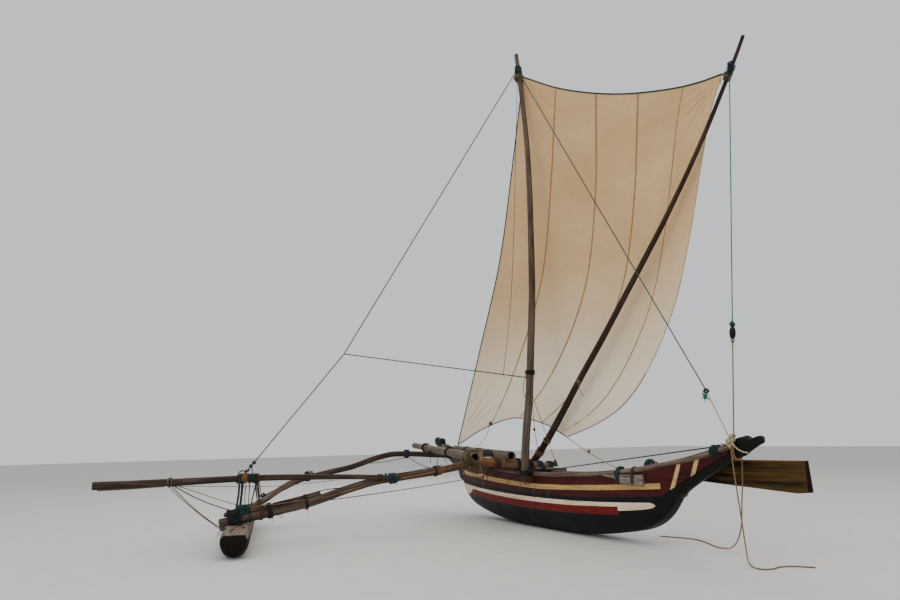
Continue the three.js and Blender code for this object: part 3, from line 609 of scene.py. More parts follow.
# Timber: dark, middle and light colours, share of dry grey, colour of that grey
WOODS = {
    "rail": ("32261f", "5a493d", "7d6c5c", 0.4, "75695e"),
    "boom": ("211915", "43362e", "68584a", 0.35, "5f544a"),
    "dark_boom": ("1a120e", "35281f", "554538", 0.3, "5c5048"),
    "loom": ("3a2413", "75502e", "93693f", 0.2, "8a6f50"),
    "mast": ("2c221c", "4f4036", "705f52", 0.35, "6a5d54"),
    "sprit": ("160e0b", "30201a", "4b382e", 0.2, "54443b"),
    "plank": ("3a2e25", "67574a", "897969", 0.5, "7f7266"),
    "block": ("20140f", "46301f", "64483a", 0.25, "5c4d40"),
    "tarred": ("040506", "0d1012", "1d2224", 0.15, "2a3034"),
    "grey_plank": ("3c342d", "6e6259", "93877c", 0.4, "8b8077"),
}
# Rope: colours of the painted shade between the strands, on the strands, and where it is frayed
ROPES = {
    "green_rope": ("04100d", "10302a", "1c463d"),
    "teal_rope": ("04201e", "0b433d", "146058"),
    "bright_rope": ("07403a", "11736a", "1f8379"),
    "black_rope": ("030404", "111615", "1d2423"),
    "tan_rope": ("4e3a20", "8d7148", "ab9167"),
    "orange_rope": ("4a2c12", "8a5c30", "a57d4c"),
    "brown_rope": ("1d110b", "462f22", "5f4a3a"),
    "dark_rope": ("050403", "1a120d", "2a1d16"),
    "red_rope": ("2c0f08", "5e2a18", "7a4630"),
    "pale_rope": ("7a674c", "c2ae8c", "d6c6a6"),
    "olive_rope": ("241c0b", "5c4d2b", "7d6b42"),
    "sea_rope": ("0a221d", "21463e", "335f55"),
    "blue_rope": ("060d1c", "16264a", "2c3f66"),
}
LOOKS = {
    **{name: wood(name + "_wood", *row) for name, row in WOODS.items()},
    **{name: rope_look(name, *row) for name, row in ROPES.items()},
    "hull_bottom": banded_paint("hull_bottom"),
    "hull_strake": banded_paint("hull_strake"),
    "hull_stem": Paint("hull_stem").wear(),
    "board": board_look("board_wood"),
    "end": end_grain("end_grain", "1d1611", "54463a"),
    "bamboo": bamboo("bamboo", "3d2f25", "584636", "745f49"),
    "tan_bamboo": bamboo("tan_bamboo", "472c17", "704a2a", "8f6740"),
    # painted shade: the inside of the open bamboo end, near black
    "hollow": end_grain("hollow", "060403", "140d09"),
    "float": float_look("float_wood"),
    "sail": sail_look("sail_cloth"),
    "seam": plain_cloth("seam_tape", "7d5c30", "a88454"),
    "black_cloth": plain_cloth("black_cloth", "030505", "161b1c"),
    "green_cloth": plain_cloth("green_cloth", "051814", "113a32"),
}


# Camera, then the cords
def add_camera():
    back = Vector((math.cos(CAMERA_YAW), -math.sin(CAMERA_YAW), 0))
    level = Vector((math.sin(CAMERA_YAW), math.cos(CAMERA_YAW), 0))
    rise = Vector((0, 0, 1))
    forward = -back * math.cos(CAMERA_PITCH) + rise * math.sin(CAMERA_PITCH)
    top = back * math.sin(CAMERA_PITCH) + rise * math.cos(CAMERA_PITCH)
    right = level * math.cos(CAMERA_ROLL) - top * math.sin(CAMERA_ROLL)
    up = top * math.cos(CAMERA_ROLL) + level * math.sin(CAMERA_ROLL)
    data = bpy.data.cameras.new("camera")
    data.lens = CAMERA_LENS
    data.sensor_width = 36.0
    data.clip_end = 200.0
    camera = bpy.data.objects.new("camera", data)
    camera.matrix_world = Matrix((
        (right.x, up.x, -forward.x, CAMERA_AT[0]), (right.y, up.y, -forward.y, CAMERA_AT[1]),
        (right.z, up.z, -forward.z, CAMERA_AT[2]), (0, 0, 0, 1),
    ))
    bpy.context.scene.collection.objects.link(camera)
    bpy.context.scene.camera = camera


TAIL_RADIUS = 0.009
TAILS = {
    "rope_tail_1": [
        (4.122, 0.0873, 1.33), (4.105, 0.095, 1.18), (4.082, 0.105, 1.0), (4.0, 0.14, 0.65),
        (3.925, 0.19, 0.42), (3.72, 0.335, 0.205), (3.52, 0.47, 0.085), (3.34, 0.56, 0.022),
        (3.18, 0.56, 0.012), (2.98, 0.65, 0.01), (2.79, 0.758, 0.01), (2.406, 0.88, 0.01),
        (1.881, 0.711, 0.01),
    ],
    "rope_tail_2": [
        (4.122, -0.0873, 1.33), (4.13, -0.096, 1.18), (4.142, -0.06, 0.615), (4.16, -0.04, 0.148),
        (4.178, -0.05, 0.05), (4.23, -0.09, 0.014), (4.31, -0.15, 0.01), (4.42, -0.24, 0.01),
        (4.56, -0.25, 0.01), (4.6, -0.12, 0.01), (4.56, 0.03, 0.01), (4.62, 0.19, 0.01),
        (4.8, 0.33, 0.01),
    ],
}


def add_tails():
    for name, points in TAILS.items():
        path = spline(points, 0.012)
        shape = Shape().tube(path, TAIL_RADIUS, 9, lobes=3)
        tail = shape.make(name + "_laid", LOOKS["tan_rope"], nodes=[name])


# Hull
def keel_z(x):
    a = abs(x)
    fore = max(0, (a - FOREFOOT_X) / (KNEE_X - FOREFOOT_X))
    return KEEL_ROCKER * max(0, a - KEEL_FLAT_X) ** 2 + FOREFOOT_RISE * fore**3


def seam_z(x):
    return SEAM_Z + SEAM_CURVE * x * x


def sheer_z(x):
    return SHEER_Z + SHEER_CURVE * x * x + SHEER_LIFT * x**4


def breadth(x, middle, end, power):
    return middle * (1 - (abs(x) / end) ** power)


def sheer_half(x):
    return max(STEM_HALF, breadth(x, *SHEER_BREADTH))


def rail_y(x):
    return sheer_half(x) - STRAKE_WALL / 2


FINE = 6
SEAM_ROW = 5 * FINE


def section(x, inset=0.0):
    """Half of the hull's section from the keel to the sheer, as rows of y and z."""
    a = abs(x)
    if KNEE_X < a < STEM_TYPE_X:
        share = (a - KNEE_X) / (STEM_TYPE_X - KNEE_X)
        return section(KNEE_X, inset) * (1 - share) + section(STEM_TYPE_X, inset) * share
    t = np.linspace(0, 8, 8 * FINE + 1)
    top = sheer_half(x) - inset
    if a <= KNEE_X:
        keel = keel_z(x) + inset
        seam = max(seam_z(x), keel + 0.02)
        wide = breadth(x, *WIDE_BREADTH) - inset
        wide_z = keel + (seam - keel) * 0.6
        foot = min(0.06, wide * 0.5)
        seam_half = breadth(x, *SEAM_BREADTH) - inset
        angle = np.clip(t / 4, 0, 1) * math.pi / 2
        share = np.clip(t - 4, 0, 1)
        rise = np.clip((t - 5) / 3, 0, 1)
        flare = 1 - (1 - rise) ** 1.3
        y = foot + (wide - foot) * np.sin(angle) + (seam_half - wide) * share + (top - seam_half) * flare
        belly = keel + (wide_z - keel) * (1 - np.cos(angle))
        z = belly + (seam - wide_z) * share + (sheer_z(x) - seam) * rise
        return np.stack([y, z], 1)
    keel = np.interp(a, STEM_LINE[:, 0], STEM_LINE[:, 1]) + inset
    foot = min(0.03, top * 0.6)
    rise = np.interp(t, range(9), RISES)
    high = max(sheer_z(x), keel + 0.06)
    return np.stack([foot + (top - foot) * rise**0.6, keel + (high - keel) * rise], 1)


def half_breadth(x, z, inset=0.0):
    rows = section(x, inset)
    return np.interp(z, rows[:, 1], rows[:, 0])


def mark_inside(obj, inside):
    data = obj.data.attributes.new("inside", "FLOAT", "POINT")
    data.data.foreach_set("value", np.asarray(inside, dtype=np.float32))


def add_dugout():
    solid = np.linspace(DUGOUT_HOLLOW_X + 0.004, KNEE_X, 9)
    xs = np.concatenate([-solid[::-1], np.linspace(-DUGOUT_HOLLOW_X, DUGOUT_HOLLOW_X, 113), solid])
    verts, inside = [], []
    for x in xs:
        outer = section(x)[:SEAM_ROW + 1]
        ring = [(-y, z) for y, z in outer[::-1]] + [(y, z) for y, z in outer]
        top = outer[-1]
        if abs(x) <= DUGOUT_HOLLOW_X:
            inner = section(x, DUGOUT_WALL)[:SEAM_ROW + 1].copy()
            inner[:, 1] = np.minimum(inner[:, 1], top[1])
            back = [(y, z) for y, z in inner[::-1]] + [(-y, z) for y, z in inner]
        else:
            share = np.linspace(1, -1, 2 * (SEAM_ROW + 1)) * 0.9
            back = [(top[0] * s, top[1]) for s in share]
        rough = [0.003 * noise.noise(Vector((x * 4, y * 9, z * 9))) for y, z in back]
        verts += [(x, y, z) for y, z in ring]
        verts += [(x, y, z + r * (abs(x) < 2.7)) for (y, z), r in zip(back, rough)]
        inside += [0] * len(ring) + [1] * len(back)
    count = len(verts) // len(xs)
    faces = capped_faces(len(xs), count)
    hull = make("dugout_hull", verts, faces, LOOKS["hull_bottom"], nodes=["hull_dugout"], grain=verts)
    mark_inside(hull, inside)


def strake_foot(x):
    a = abs(x)
    if a < BAND_TOP[0, 0] - 0.02:
        return seam_z(x) + 0.001
    return np.interp(a, BAND_TOP[:, 0], BAND_TOP[:, 1]) - 0.004


def add_strakes():
    rows = 15
    xs = np.linspace(-STRAKE_END_X, STRAKE_END_X, 201)
    for side, sign in (("windward", -1), ("leeward", 1)):
        verts, inside = [], []
        for x in xs:
            z = np.linspace(strake_foot(x), sheer_z(x) + 0.004, rows)
            outer = half_breadth(x, z)
            inner = outer - STRAKE_WALL
            verts += [(x, sign * y, h) for y, h in zip(outer, z)]
            verts += [(x, sign * max(y, 0.004), h) for y, h in zip(inner[::-1], z[::-1])]
            inside += [0] * rows + [1] * rows
        faces = [f[::sign] for f in capped_faces(len(xs), 2 * rows)]
        plank = make("plank_" + side, verts, faces, LOOKS["hull_strake"], nodes=["washstrake_" + side],
                     grain=verts)
        mark_inside(plank, inside)


def stem_row(x, end, sign, rows=16):
    """Height and half width of a stem, from its foot to its top."""
    low = 0.676 + 0.03 * (x - 2.86) if x < KNEE_X else np.interp(x, STEM_LINE[:, 0], STEM_LINE[:, 1])
    outline = BAND_TOP if x < 4.145 else HEAD_TOPS[end]
    high = max(np.interp(x, outline[:, 0], outline[:, 1]), low + 0.006)
    share = np.linspace(0, 1, rows)
    z = low + (high - low) * share
    round_off = (1 - np.abs(2 * share - 1) ** 7) ** 0.35
    nose = min(1.0, 0.35 + (max(0, 4.553 - x) / 0.12) ** 0.6) if x > 4.43 else 1.0
    y = (half_breadth(x, np.clip(z, 0, sheer_z(x))) + 0.004) * np.maximum(round_off, 0.25) * nose
    if x > 4.05:
        y = y - 0.006 * np.exp(-((z - (low + high) / 2 - 0.01) / 0.012) ** 2) * min(1, (x - 4.05) * 8)
        # a cut down each cheek at the notch
        y = y - 0.008 * math.exp(-((x - 4.365 - 0.2 * (z[-1] - 1.48)) / 0.012) ** 2) * share
    dents = [0.002 * noise.noise(Vector((x * 14 * sign, h * 14, 3.0))) for h in z]
    return y + np.array(dents), z


def add_stems():
    xs = np.unique(np.concatenate([
        np.linspace(2.86, 3.098, 8), np.linspace(3.102, 4.14, 60), np.linspace(4.15, 4.55, 66)]))
    for end, sign in (("near", 1), ("far", -1)):
        verts = []
        for x in xs:
            y, z = stem_row(x, end, sign)
            verts += [(sign * x, -b, h) for b, h in zip(y, z)]
            verts += [(sign * x, b, h) for b, h in zip(y[::-1], z[::-1])]
        faces = [f[::sign] for f in capped_faces(len(xs), len(verts) // len(xs))]
        stem = make(f"stem_{end}_carved", verts, faces, LOOKS["hull_stem"], nodes=["stem_" + end],
                    grain=verts)
        mark_inside(stem, [0] * len(verts))


def rail_points(side):
    half = [(x, sheer_z(x)) for x in (0, 0.9, 1.8, 2.6, 3.3, 3.8, 4.08)]
    full = [(-x, z) for x, z in half[:0:-1]] + half
    return [(x, side * rail_y(x), z) for x, z in full]


# Timbers: points, radius at the first and last, look, unevenness
TIMBERS = {
    "gunwale_windward": (rail_points(-1), RAIL_RADIUS, RAIL_RADIUS, "rail", 0.07),
    "gunwale_leeward": (rail_points(1), RAIL_RADIUS, RAIL_RADIUS, "rail", 0.07),
    "near_boom": ([
        (-0.5, -5.46, 0.385), (-0.5, -5.1, 0.44), (-0.5, -4.76, 0.496), (-0.5, -4.28, 0.58),
        (-0.5, -3.96, 0.655), (-0.5, -3.45, 0.8), (-0.5, -3.035, 0.887), (-0.5, -2.58, 0.936),
        (-0.5, -1.99, 1.0), (-0.49, -1.56, 1.062), (-0.488, -1.335, 1.096), (-0.482, -1.1, 1.084),
        (-0.482, -0.15, 1.004)], 0.068, 0.062, "boom", 0.07),
    "near_boom_top_pole": ([
        (-0.5, -5.4, 0.505), (-0.5, -5.02, 0.548), (-0.5, -4.76, 0.59), (-0.5, -4.28, 0.672),
        (-0.5, -3.96, 0.746)],
        0.032, 0.028, "boom", 0.1),
    "near_boom_tail": ([(-0.24, -0.13, 0.985), (-0.24, 0.55, 0.95)], 0.03, 0.026, "rail", 0.08),
    "far_boom": ([
        (-2.9, -4.33, 0.52), (-2.9, -3.95, 0.7), (-2.9, -3.64, 0.828), (-2.9, -3.06, 0.951),
        (-2.9, -2.64, 1.03), (-2.9, -2.12, 1.187), (-2.9, -1.78, 1.252), (-2.9, -1.43, 1.25),
        (-2.9, -0.7, 1.212), (-2.9, -0.16, 1.193), (-2.9, 0.42, 1.191)], 0.05, 0.059, "dark_boom", 0.09),
    "far_boom_lower_pole": ([
        (-2.79, -4.78, 0.395), (-2.79, -4.55, 0.411), (-2.79, -4.3, 0.52), (-2.79, -4.11, 0.64),
        (-2.79, -3.83, 0.795), (-2.79, -3.43, 0.958)], 0.058, 0.046, "rail", 0.1),
    "long_pole": ([
        (-1.0, -7.15, 0.97), (-0.85, -6.0, 0.985), (-0.7, -5.1, 1.005), (-0.5, -3.96, 0.99),
        (-0.412, -3.1, 0.955), (-0.4, -2.65, 0.925)], 0.058, 0.036, "dark_boom", 0.08),
    "mast": ([
        (-0.201, -0.362, 0.875), (-0.196, -0.362, 1.04), (-0.103, -0.362, 1.663), (0.016, -0.362, 2.181),
        (0.157, -0.362, 3.229), (0.242, -0.362, 3.938), (0.303, -0.362, 5.408), (0.31, -0.362, 6.173),
        (0.284, -0.362, 6.968), (0.189, -0.362, 7.817), (0.084, -0.362, 8.596), (0.052, -0.362, 8.83)],
        0.074, 0.039, "mast", 0.05),
    "sprit": ([
        (-0.84, 0.195, 1.032), (-0.356, 0.197, 1.421), (0.086, 0.198, 1.828), (0.754, 0.201, 2.485),
        (1.401, 0.204, 3.091), (1.978, 0.207, 3.659), (3.012, 0.213, 4.688), (3.843, 0.218, 5.627),
        (4.514, 0.223, 6.514), (4.696, 0.225, 6.787)], 0.066, 0.025, "sprit", 0.06),
    "tarred_pole": ([
        (-3.78, -0.125, 1.357), (-2.87, -0.278, 1.285), (-0.95, -0.618, 1.236)
        ], 0.036, 0.032, "tarred", 0.12),
    "steering_oar_loom": ([(2.19, 0.258, 1.109), (3.56, 0.258, 1.056)], 0.034, 0.034, "loom", 0.05),
}
BAMBOOS = {
    "near_boom_bamboo": ([(-0.343, -1.265, 1.15), (-0.343, 0.31, 1.0)], 0.076, 0.072, 0.31),
    "spare_bamboo_1": ([(-4.3, -0.665, 1.4), (-0.12, -1.4, 1.22)], 0.06, 0.08, 0.36),
    "spare_bamboo_2": ([(-3.42, -0.09, 1.327), (-0.18, -0.639, 1.221)], 0.062, 0.08, 0.33),
}
BODIES = {"sprit": "sprit", "steering_oar_loom": "steering_oar"}
MAST_RINGS = 0.42
# Rings that finish an end: how far past the last point, share of the radius
LOG_END = ((0.006, 0.985), (0.012, 0.93))
OPEN_END = ((0.004, 0.99), (0.008, 0.95), (0.008, 0.82), (0.0, 0.79), (-0.2, 0.78))
CANE_SIDES = 24


def timber_row(name):
    return (TIMBERS if name in TIMBERS else BAMBOOS)[name]


def centreline(name, step=0.03):
    points = timber_row(name)[0]
    return spline(points, step) if len(points) > 2 else polyline(points, step)


def timber_radius(name, path):
    _, first, last, *_ = timber_row(name)
    return np.linspace(first, last, len(path))


def trimmed(path):
    """The path, shorter at each end by what the end rings add."""
    along = lengths(path)
    keep = np.linspace(LOG_END[-1][0], along[-1] - LOG_END[-1][0], len(path))
    return np.stack([np.interp(keep, along, path[:, i]) for i in range(3)], 1)


def add_timbers():
    for i, (name, (*_, look, uneven)) in enumerate(TIMBERS.items()):
        path = trimmed(centreline(name, 0.035))
        relief = lumps(3.7 * i, 0.12, uneven)
        if name == "mast":
            relief = joints_of_bamboo(3.7 * i, MAST_RINGS, 0.035, 0.04)
        pole = Shape().tube(path, timber_radius(name, path), 22, relief, (LOG_END, LOG_END), 0, 1)
        pole.make(name + "_wood", [LOOKS[look], LOOKS["end"]], body=BODIES.get(name, "canoe"), nodes=[name])


def add_bamboos():
    for i, (name, (*_, spacing)) in enumerate(BAMBOOS.items()):
        path = trimmed(centreline(name, 0.011))
        inboard = name == "near_boom_bamboo"
        ends = (LOG_END, LOG_END if inboard else OPEN_END)
        rings = joints_of_bamboo(1.3 * i + 0.4, spacing)
        cane = Shape().tube(path, timber_radius(name, path), CANE_SIDES, rings, ends, 0, 1)
        if name == "spare_bamboo_1":
            # the tube's last faces but the caps are the open end's inner wall, painted near black as the
            # shade inside the bore
            cane.marks[-2 - CANE_SIDES:] = [2] * CANE_SIDES + [1, 2]
        look = "tan_bamboo" if inboard else "bamboo"
        cane.make(name + "_cane", [LOOKS[look], LOOKS["end"], LOOKS["hollow"]], nodes=[name])


# Float
FLOAT_NEAR, FLOAT_FAR = np.array([0.45, -5.42]), np.array([-4.0, -4.4])
FLOAT_FLAT = 0.055
# Distance from the end, half width, underside, top
FLOAT_ENDS = np.array([
    (0, 0.172, 0.15, 0.318), (0.07, 0.184, 0.08, 0.336), (0.22, 0.19, 0.025, 0.352), (0.48, 0.195, 0, 0.36)])


def float_ring(half, low, high):
    """The float's section: a flat foot, a round belly and a flattened top, as across and up."""
    wide = low + (high - low) * 0.62
    angle = np.linspace(0, math.pi / 2, 10)
    belly_y = FLOAT_FLAT + (half - FLOAT_FLAT) * np.sin(angle)
    belly_z = low + (wide - low) * (1 - np.cos(angle))
    top_y = half * np.array([0.985, 0.92, 0.855, 0.78, 0.5, 0.25])
    top_z = [wide + (high - wide) * 0.4, high - 0.03, high - 0.012, high, high + 0.001, high + 0.001]
    y, z = np.concatenate([[0.0], belly_y, top_y]), np.concatenate([[low], belly_z, top_z])
    return wide, list(zip(y, z)) + [(0.0, high + 0.001)] + [(-a, b) for a, b in zip(y[:0:-1], z[:0:-1])]


def add_float():
    axis = FLOAT_FAR - FLOAT_NEAR
    length = np.linalg.norm(axis)
    axis /= length
    across = np.array([-axis[1], axis[0]])
    stops = np.concatenate([
        np.linspace(0.0, 0.5, 26), np.linspace(0.54, length - 0.54, 90),
        np.linspace(length - 0.5, length, 26)])
    verts, grain = [], []
    for s in stops:
        to_end, *rows = FLOAT_ENDS.T
        half, low, high = (np.interp(min(s, length - s), to_end, row) for row in rows)
        wide, ring = float_ring(half, low, high)
        for a, b in ring:
            dent = noise.noise(Vector((s * 1.1, a * 9, b * 9)))
            dent += 0.5 * noise.noise(Vector((s * 5, a * 25, b * 25)))
            worn = max(0.0, b - 0.006 * abs(dent) * (b > wide)) if b > 0.03 else b
            spot = FLOAT_NEAR + axis * s + across * a * min(1 + 0.022 * dent, 1.0)
            verts.append((spot[0], spot[1], worn))
            grain.append((s, a, b))
    faces = capped_faces(len(stops), len(verts) // len(stops))
    make("float_log", verts, faces, LOOKS["float"], nodes=["float"], grain=grain)


# Flat boards and blocks
def tidy_normals(obj):
    work = bmesh.new()
    work.from_mesh(obj.data)
    bmesh.ops.recalc_face_normals(work, faces=work.faces)
    work.to_mesh(obj.data)
    work.free()


def slab(name, outline, low, high, look, axis="y", edge=0.004, grain_along="x", **options):
    """An outline pushed out from low to high along an axis, with its edges rounded off."""
    shape = np.asarray(outline, float)
    toward = shape.mean(axis=0) - shape
    toward /= np.linalg.norm(toward, axis=1)[:, None]
    place = {"y": (0, 2, 1), "z": (0, 1, 2)}[axis]
    rings = []
    for depth, inward in ((low, 1), (low + edge * 0.35, 0.3), (low + edge, 0), (high - edge, 0),
                          (high - edge * 0.35, 0.3), (high, 1)):
        ring = np.zeros((len(shape), 3))
        ring[:, place[:2]] = shape + toward * edge * inward
        ring[:, place[2]] = depth
        rings.append(ring)
    verts = np.vstack(rings)
    order = {"x": (0, 1, 2), "y": (1, 0, 2)}[grain_along]
    faces = capped_faces(len(rings), len(shape))
    tidy_normals(make(name, verts, faces, look, grain=verts[:, order], **options))


def add_thwarts():
    for i, x in enumerate(THWART_XS):
        z = sheer_z(x) - THWART_DROP
        ends = [(x - THWART_HALF_WIDTH, -1), (x + THWART_HALF_WIDTH, -1), (x + THWART_HALF_WIDTH, 1),
                (x - THWART_HALF_WIDTH, 1)]
        outline = [(at, side * (half_breadth(at, z) - STRAKE_WALL - 0.002)) for at, side in ends]
        slab(f"thwart_{i + 1}_plank", outline, z - THWART_HALF_THICK, z + THWART_HALF_THICK, LOOKS["plank"],
             "z", 0.005, "y", nodes=[f"thwart_{i + 1}"])


BLADE = [
    (3.18, 1.0), (3.24, 1.065), (3.3, 1.12), (3.38, 1.165), (3.48, 1.205), (4.2, 1.208), (4.905, 1.212),
    (4.917, 1.03), (4.928, 0.852), (4.742, 0.832), (3.98, 0.871), (3.216, 0.912),
]


def add_blade():
    slab("steering_blade", divided(BLADE, 0.04), 0.239, 0.277, LOOKS["board"], "y", 0.006, "x",
         body="steering_oar", nodes=["steering_oar_blade"])


def divided(points, step):
    """A closed outline with its long sides cut into steps."""
    p = np.array(points + points[:1], float)
    out = []
    for a, b in zip(p[:-1], p[1:]):
        count = max(1, int(np.linalg.norm(b - a) / step))
        out += [a + (b - a) * i / count for i in range(count)]
    return np.array(out)


# Sail
SAIL_EDGES = {
    "top": [(0.178, -0.31, 8.309), (1.066, -0.12, 7.684), (2.305, 0.05, 7.027), (3.36, 0.19, 6.639),
            (3.892, 0.235, 6.501), (4.271, 0.25, 6.439)],
    "left": [(0.178, -0.31, 8.309), (-0.508, -0.2, 6.69), (-1.19, -0.13, 5.037), (-2.302, -0.02, 3.357),
             (-3.531, 0.049, 1.395)],
    "foot": [(-3.531, 0.049, 1.395), (-2.481, 0.15, 1.742), (-1.447, 0.25, 1.914), (-0.532, 0.33, 1.773),
             (0.093, 0.36, 1.528)],
    "right": [(4.271, 0.25, 6.439), (3.99, 0.29, 6.035), (3.72, 0.32, 5.391), (3.32, 0.35, 4.312),
              (2.875, 0.37, 3.354), (2.164, 0.385, 2.452), (1.61, 0.385, 2.018), (1.012, 0.38, 1.766),
              (0.093, 0.36, 1.528)],
}
SAIL_BELLY = 0.13
SAIL_THICK = 0.003
SAIL_SIZE, SAIL_AREA = (4.3, 7.4), 26.0
# Creases that fan out of a corner: its shares across and down, depth, reach, how many in a turn
CREASES = (
    ((1, 0), 0.012, 1.5, 26), ((0, 0), 0.014, 1.1, 22), ((0, 1), 0.016, 1.3, 20), ((1, 1), 0.018, 1.2, 24),
)


def sail_points(u, v, lift=0.0):
    """The sail's middle surface at shares u across and v down, raised by lift along its normal's y."""
    u, v = np.atleast_1d(u), np.atleast_1d(v)
    top, foot = (catmull(SAIL_EDGES[name], u) for name in ("top", "foot"))
    left, right = (catmull(SAIL_EDGES[name], v) for name in ("left", "right"))
    a, b, c, d = (np.array(SAIL_EDGES[name][i]) for name in ("top", "foot") for i in (0, -1))
    uu, vv = u[:, None], v[:, None]
    point = (top * (1 - vv) + foot * vv + left * (1 - uu) + right * uu
             - a * (1 - uu) * (1 - vv) - b * uu * (1 - vv) - c * (1 - uu) * vv - d * uu * vv)
    belly = SAIL_BELLY * np.sin(math.pi * u) * np.sin(math.pi * v)
    wide, long = SAIL_SIZE
    creases = 0.0
    for (cu, cv), size, reach, count in CREASES:
        du, dv = (u - cu) * wide, (v - cv) * long
        share = np.exp(-((np.hypot(du, dv) - reach * 0.4) / (reach * 0.45)) ** 2)
        creases = creases + size * np.sin(np.arctan2(dv, du) * count + 2.0) * share
    slack = 0.012 * np.sin(u * 31 + 3 * np.sin(v * 5)) * np.sin(math.pi * v) ** 2
    edge = np.clip(np.minimum(np.minimum(u, 1 - u) * 10, np.minimum(v, 1 - v) * 14), 0, 1)
    point[:, 1] += belly + (creases + slack) * edge + lift
    return point


def blended(obj):
    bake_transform(obj)


def sheet_shape(us, vs, thick):
    """Two faces and the rim of a thin sheet over a grid of shares us and vs, each rows by columns."""
    rows, columns = us.shape
    shape = Shape()
    layers = [sail_points(us.ravel(), vs.ravel(), side * thick / 2) for side in (-1, 1)]
    grain = np.stack([us.ravel() * SAIL_SIZE[0], vs.ravel() * SAIL_SIZE[1], np.zeros(us.size)], 1)
    front = strip_faces(rows, columns, closed=False)
    count = rows * columns
    rim = ([(0, j) for j in range(columns)] + [(i, columns - 1) for i in range(1, rows)]
           + [(rows - 1, j) for j in range(columns - 2, -1, -1)] + [(i, 0) for i in range(rows - 2, 0, -1)])
    ids = [i * columns + j for i, j in rim]
    border = [(a, b, b + count, a + count) for a, b in zip(ids, ids[1:] + ids[:1])]
    faces = [tuple(f[::-1]) for f in front] + [tuple(f + count) for f in front] + [f[::-1] for f in border]
    shape.add(np.vstack(layers), faces, np.vstack([grain, grain]))
    return shape


# Seams: shares across at the top and at the foot
SEAMS = ((0.18, 0.30), (0.335, 0.54), (0.4835, 0.72), (0.6825, 0.93))
SEAM_HALF_WIDTH = 0.0032
# Ropes sewn along the sail's edges: name, edge, first and last share of it, look, radius
BOLT_ROPES = (
    ("top", "top", 0.0, 1.0, "green_rope", 0.014),
    ("left", "left", 0.0, 1.0, "dark_rope", 0.014),
    ("foot", "foot", 0.0, 1.0, "red_rope", 0.011),
    ("right", "right", 0.0, 0.62, "pale_rope", 0.008),
    ("clew", "right", 0.62, 1.0, "orange_rope", 0.009),
)


def add_seam(name, at_top, at_foot):
    v = np.linspace(0.004, 0.996, 120)
    middle = at_top + (at_foot - at_top) * v
    across, down = np.meshgrid([-SEAM_HALF_WIDTH, SEAM_HALF_WIDTH], v)
    seam = sheet_shape(across + middle[:, None], down, SAIL_THICK + 0.004).make(
        name, LOOKS["seam"], body=None, slot="sailcloth")
    tidy_normals(seam)
    blended(seam)
    return seam


def add_bolt_rope(name, edge, first, last, look, radius):
    path = catmull(SAIL_EDGES[edge], np.linspace(first, last, 400))
    rope = Shape().tube(path, radius, 8, lobes=3).make(
        "bolt_rope_" + name, LOOKS[look], body=None, slot="green_rope")
    blended(rope)
    return rope


def add_sail():
    u, v = np.meshgrid(np.linspace(0, 1, 97), np.linspace(0, 1, 141))
    sail = sheet_shape(u, v, SAIL_THICK).make("sail_cloth_sheet", LOOKS["sail"], body=None, nodes=["sail"])
    tidy_normals(sail)
    blended(sail)
    extras = [add_seam(f"sail_seam_{i + 1}", *row) for i, row in enumerate(SEAMS)]
    extras += [add_bolt_rope(*row) for row in BOLT_ROPES]


# Lashings
TURN_STEPS = 22


def circles(names, centre, direction, offset):
    """Where timbers cross the plane at offset along direction: middle and radius of each."""
    c = np.asarray(centre, float) + direction * offset
    found = []
    for name in names:
        path = centreline(name)
        reach = timber_radius(name, path)
        away = np.abs((path - c) @ direction) + 0.05 * np.linalg.norm(path - c, axis=1)
        i = int(np.argmin(away))
        found.append((path[i] - direction * ((path[i] - c) @ direction), reach[i]))
    return found


def wound(shape, names, centre, direction, width, rope, layers, seed, mark=0, slope=0.0):
    """Turns of rope round timbers, side by side over a width."""
    local = random.Random(seed)
    direction = np.asarray(direction, float) / np.linalg.norm(direction)
    side = np.cross(direction, (0, 0, 1) if abs(direction[2]) < 0.8 else (1, 0, 0))
    side /= np.linalg.norm(side)
    over = np.cross(side, direction)
    ends = [circles(names, centre, direction, s * width / 2) for s in (-1, 1)]
    turns = max(1.0, (width - 2 * rope) / (rope * 2.15))
    samples = int(turns * TURN_STEPS)
    for layer in range(layers):
        path = []
        shifts = [local.uniform(-0.3, 0.3) for _ in range(int(turns) + 2)]
        for k in range(samples + 1):
            turn = k / TURN_STEPS
            share = k / samples if layer % 2 == 0 else 1 - k / samples
            angle = 2 * math.pi * turn + layer * 1.3
            normal = side * math.cos(angle) + over * math.sin(angle)
            rings = [[p * (1 - share) + q * share for p, q in zip(a, b)] for a, b in zip(*ends)]
            middle, radius = max(rings, key=lambda r: r[0] @ normal + r[1])
            lift = rope * (0.95 + 1.7 * layer) + 0.3 * rope * math.sin(3 * angle + seed)
            jitter = shifts[int(turn)] * rope + slope * math.sin(angle)
            path.append(middle + normal * (radius + lift) + direction * jitter)
        shape.tube(spline(path, rope * 2.2), rope, 7, mark=mark)


def dangling(shape, start, length, lean, seed, rope=0.005, mark=0):
    """A loose end of rope that hangs from a lashing."""
    local = random.Random(seed)
    points = [start]
    for i in range(1, 6):
        t = i / 5
        x, y = (s + reach * t + local.uniform(-0.01, 0.01) for s, reach in zip(start, lean))
        points.append((x, y, start[2] - length * t**1.2))
    path = spline(points, 0.012)
    shape.tube(path, np.linspace(rope, rope * 0.7, len(path)), 7, mark=mark)


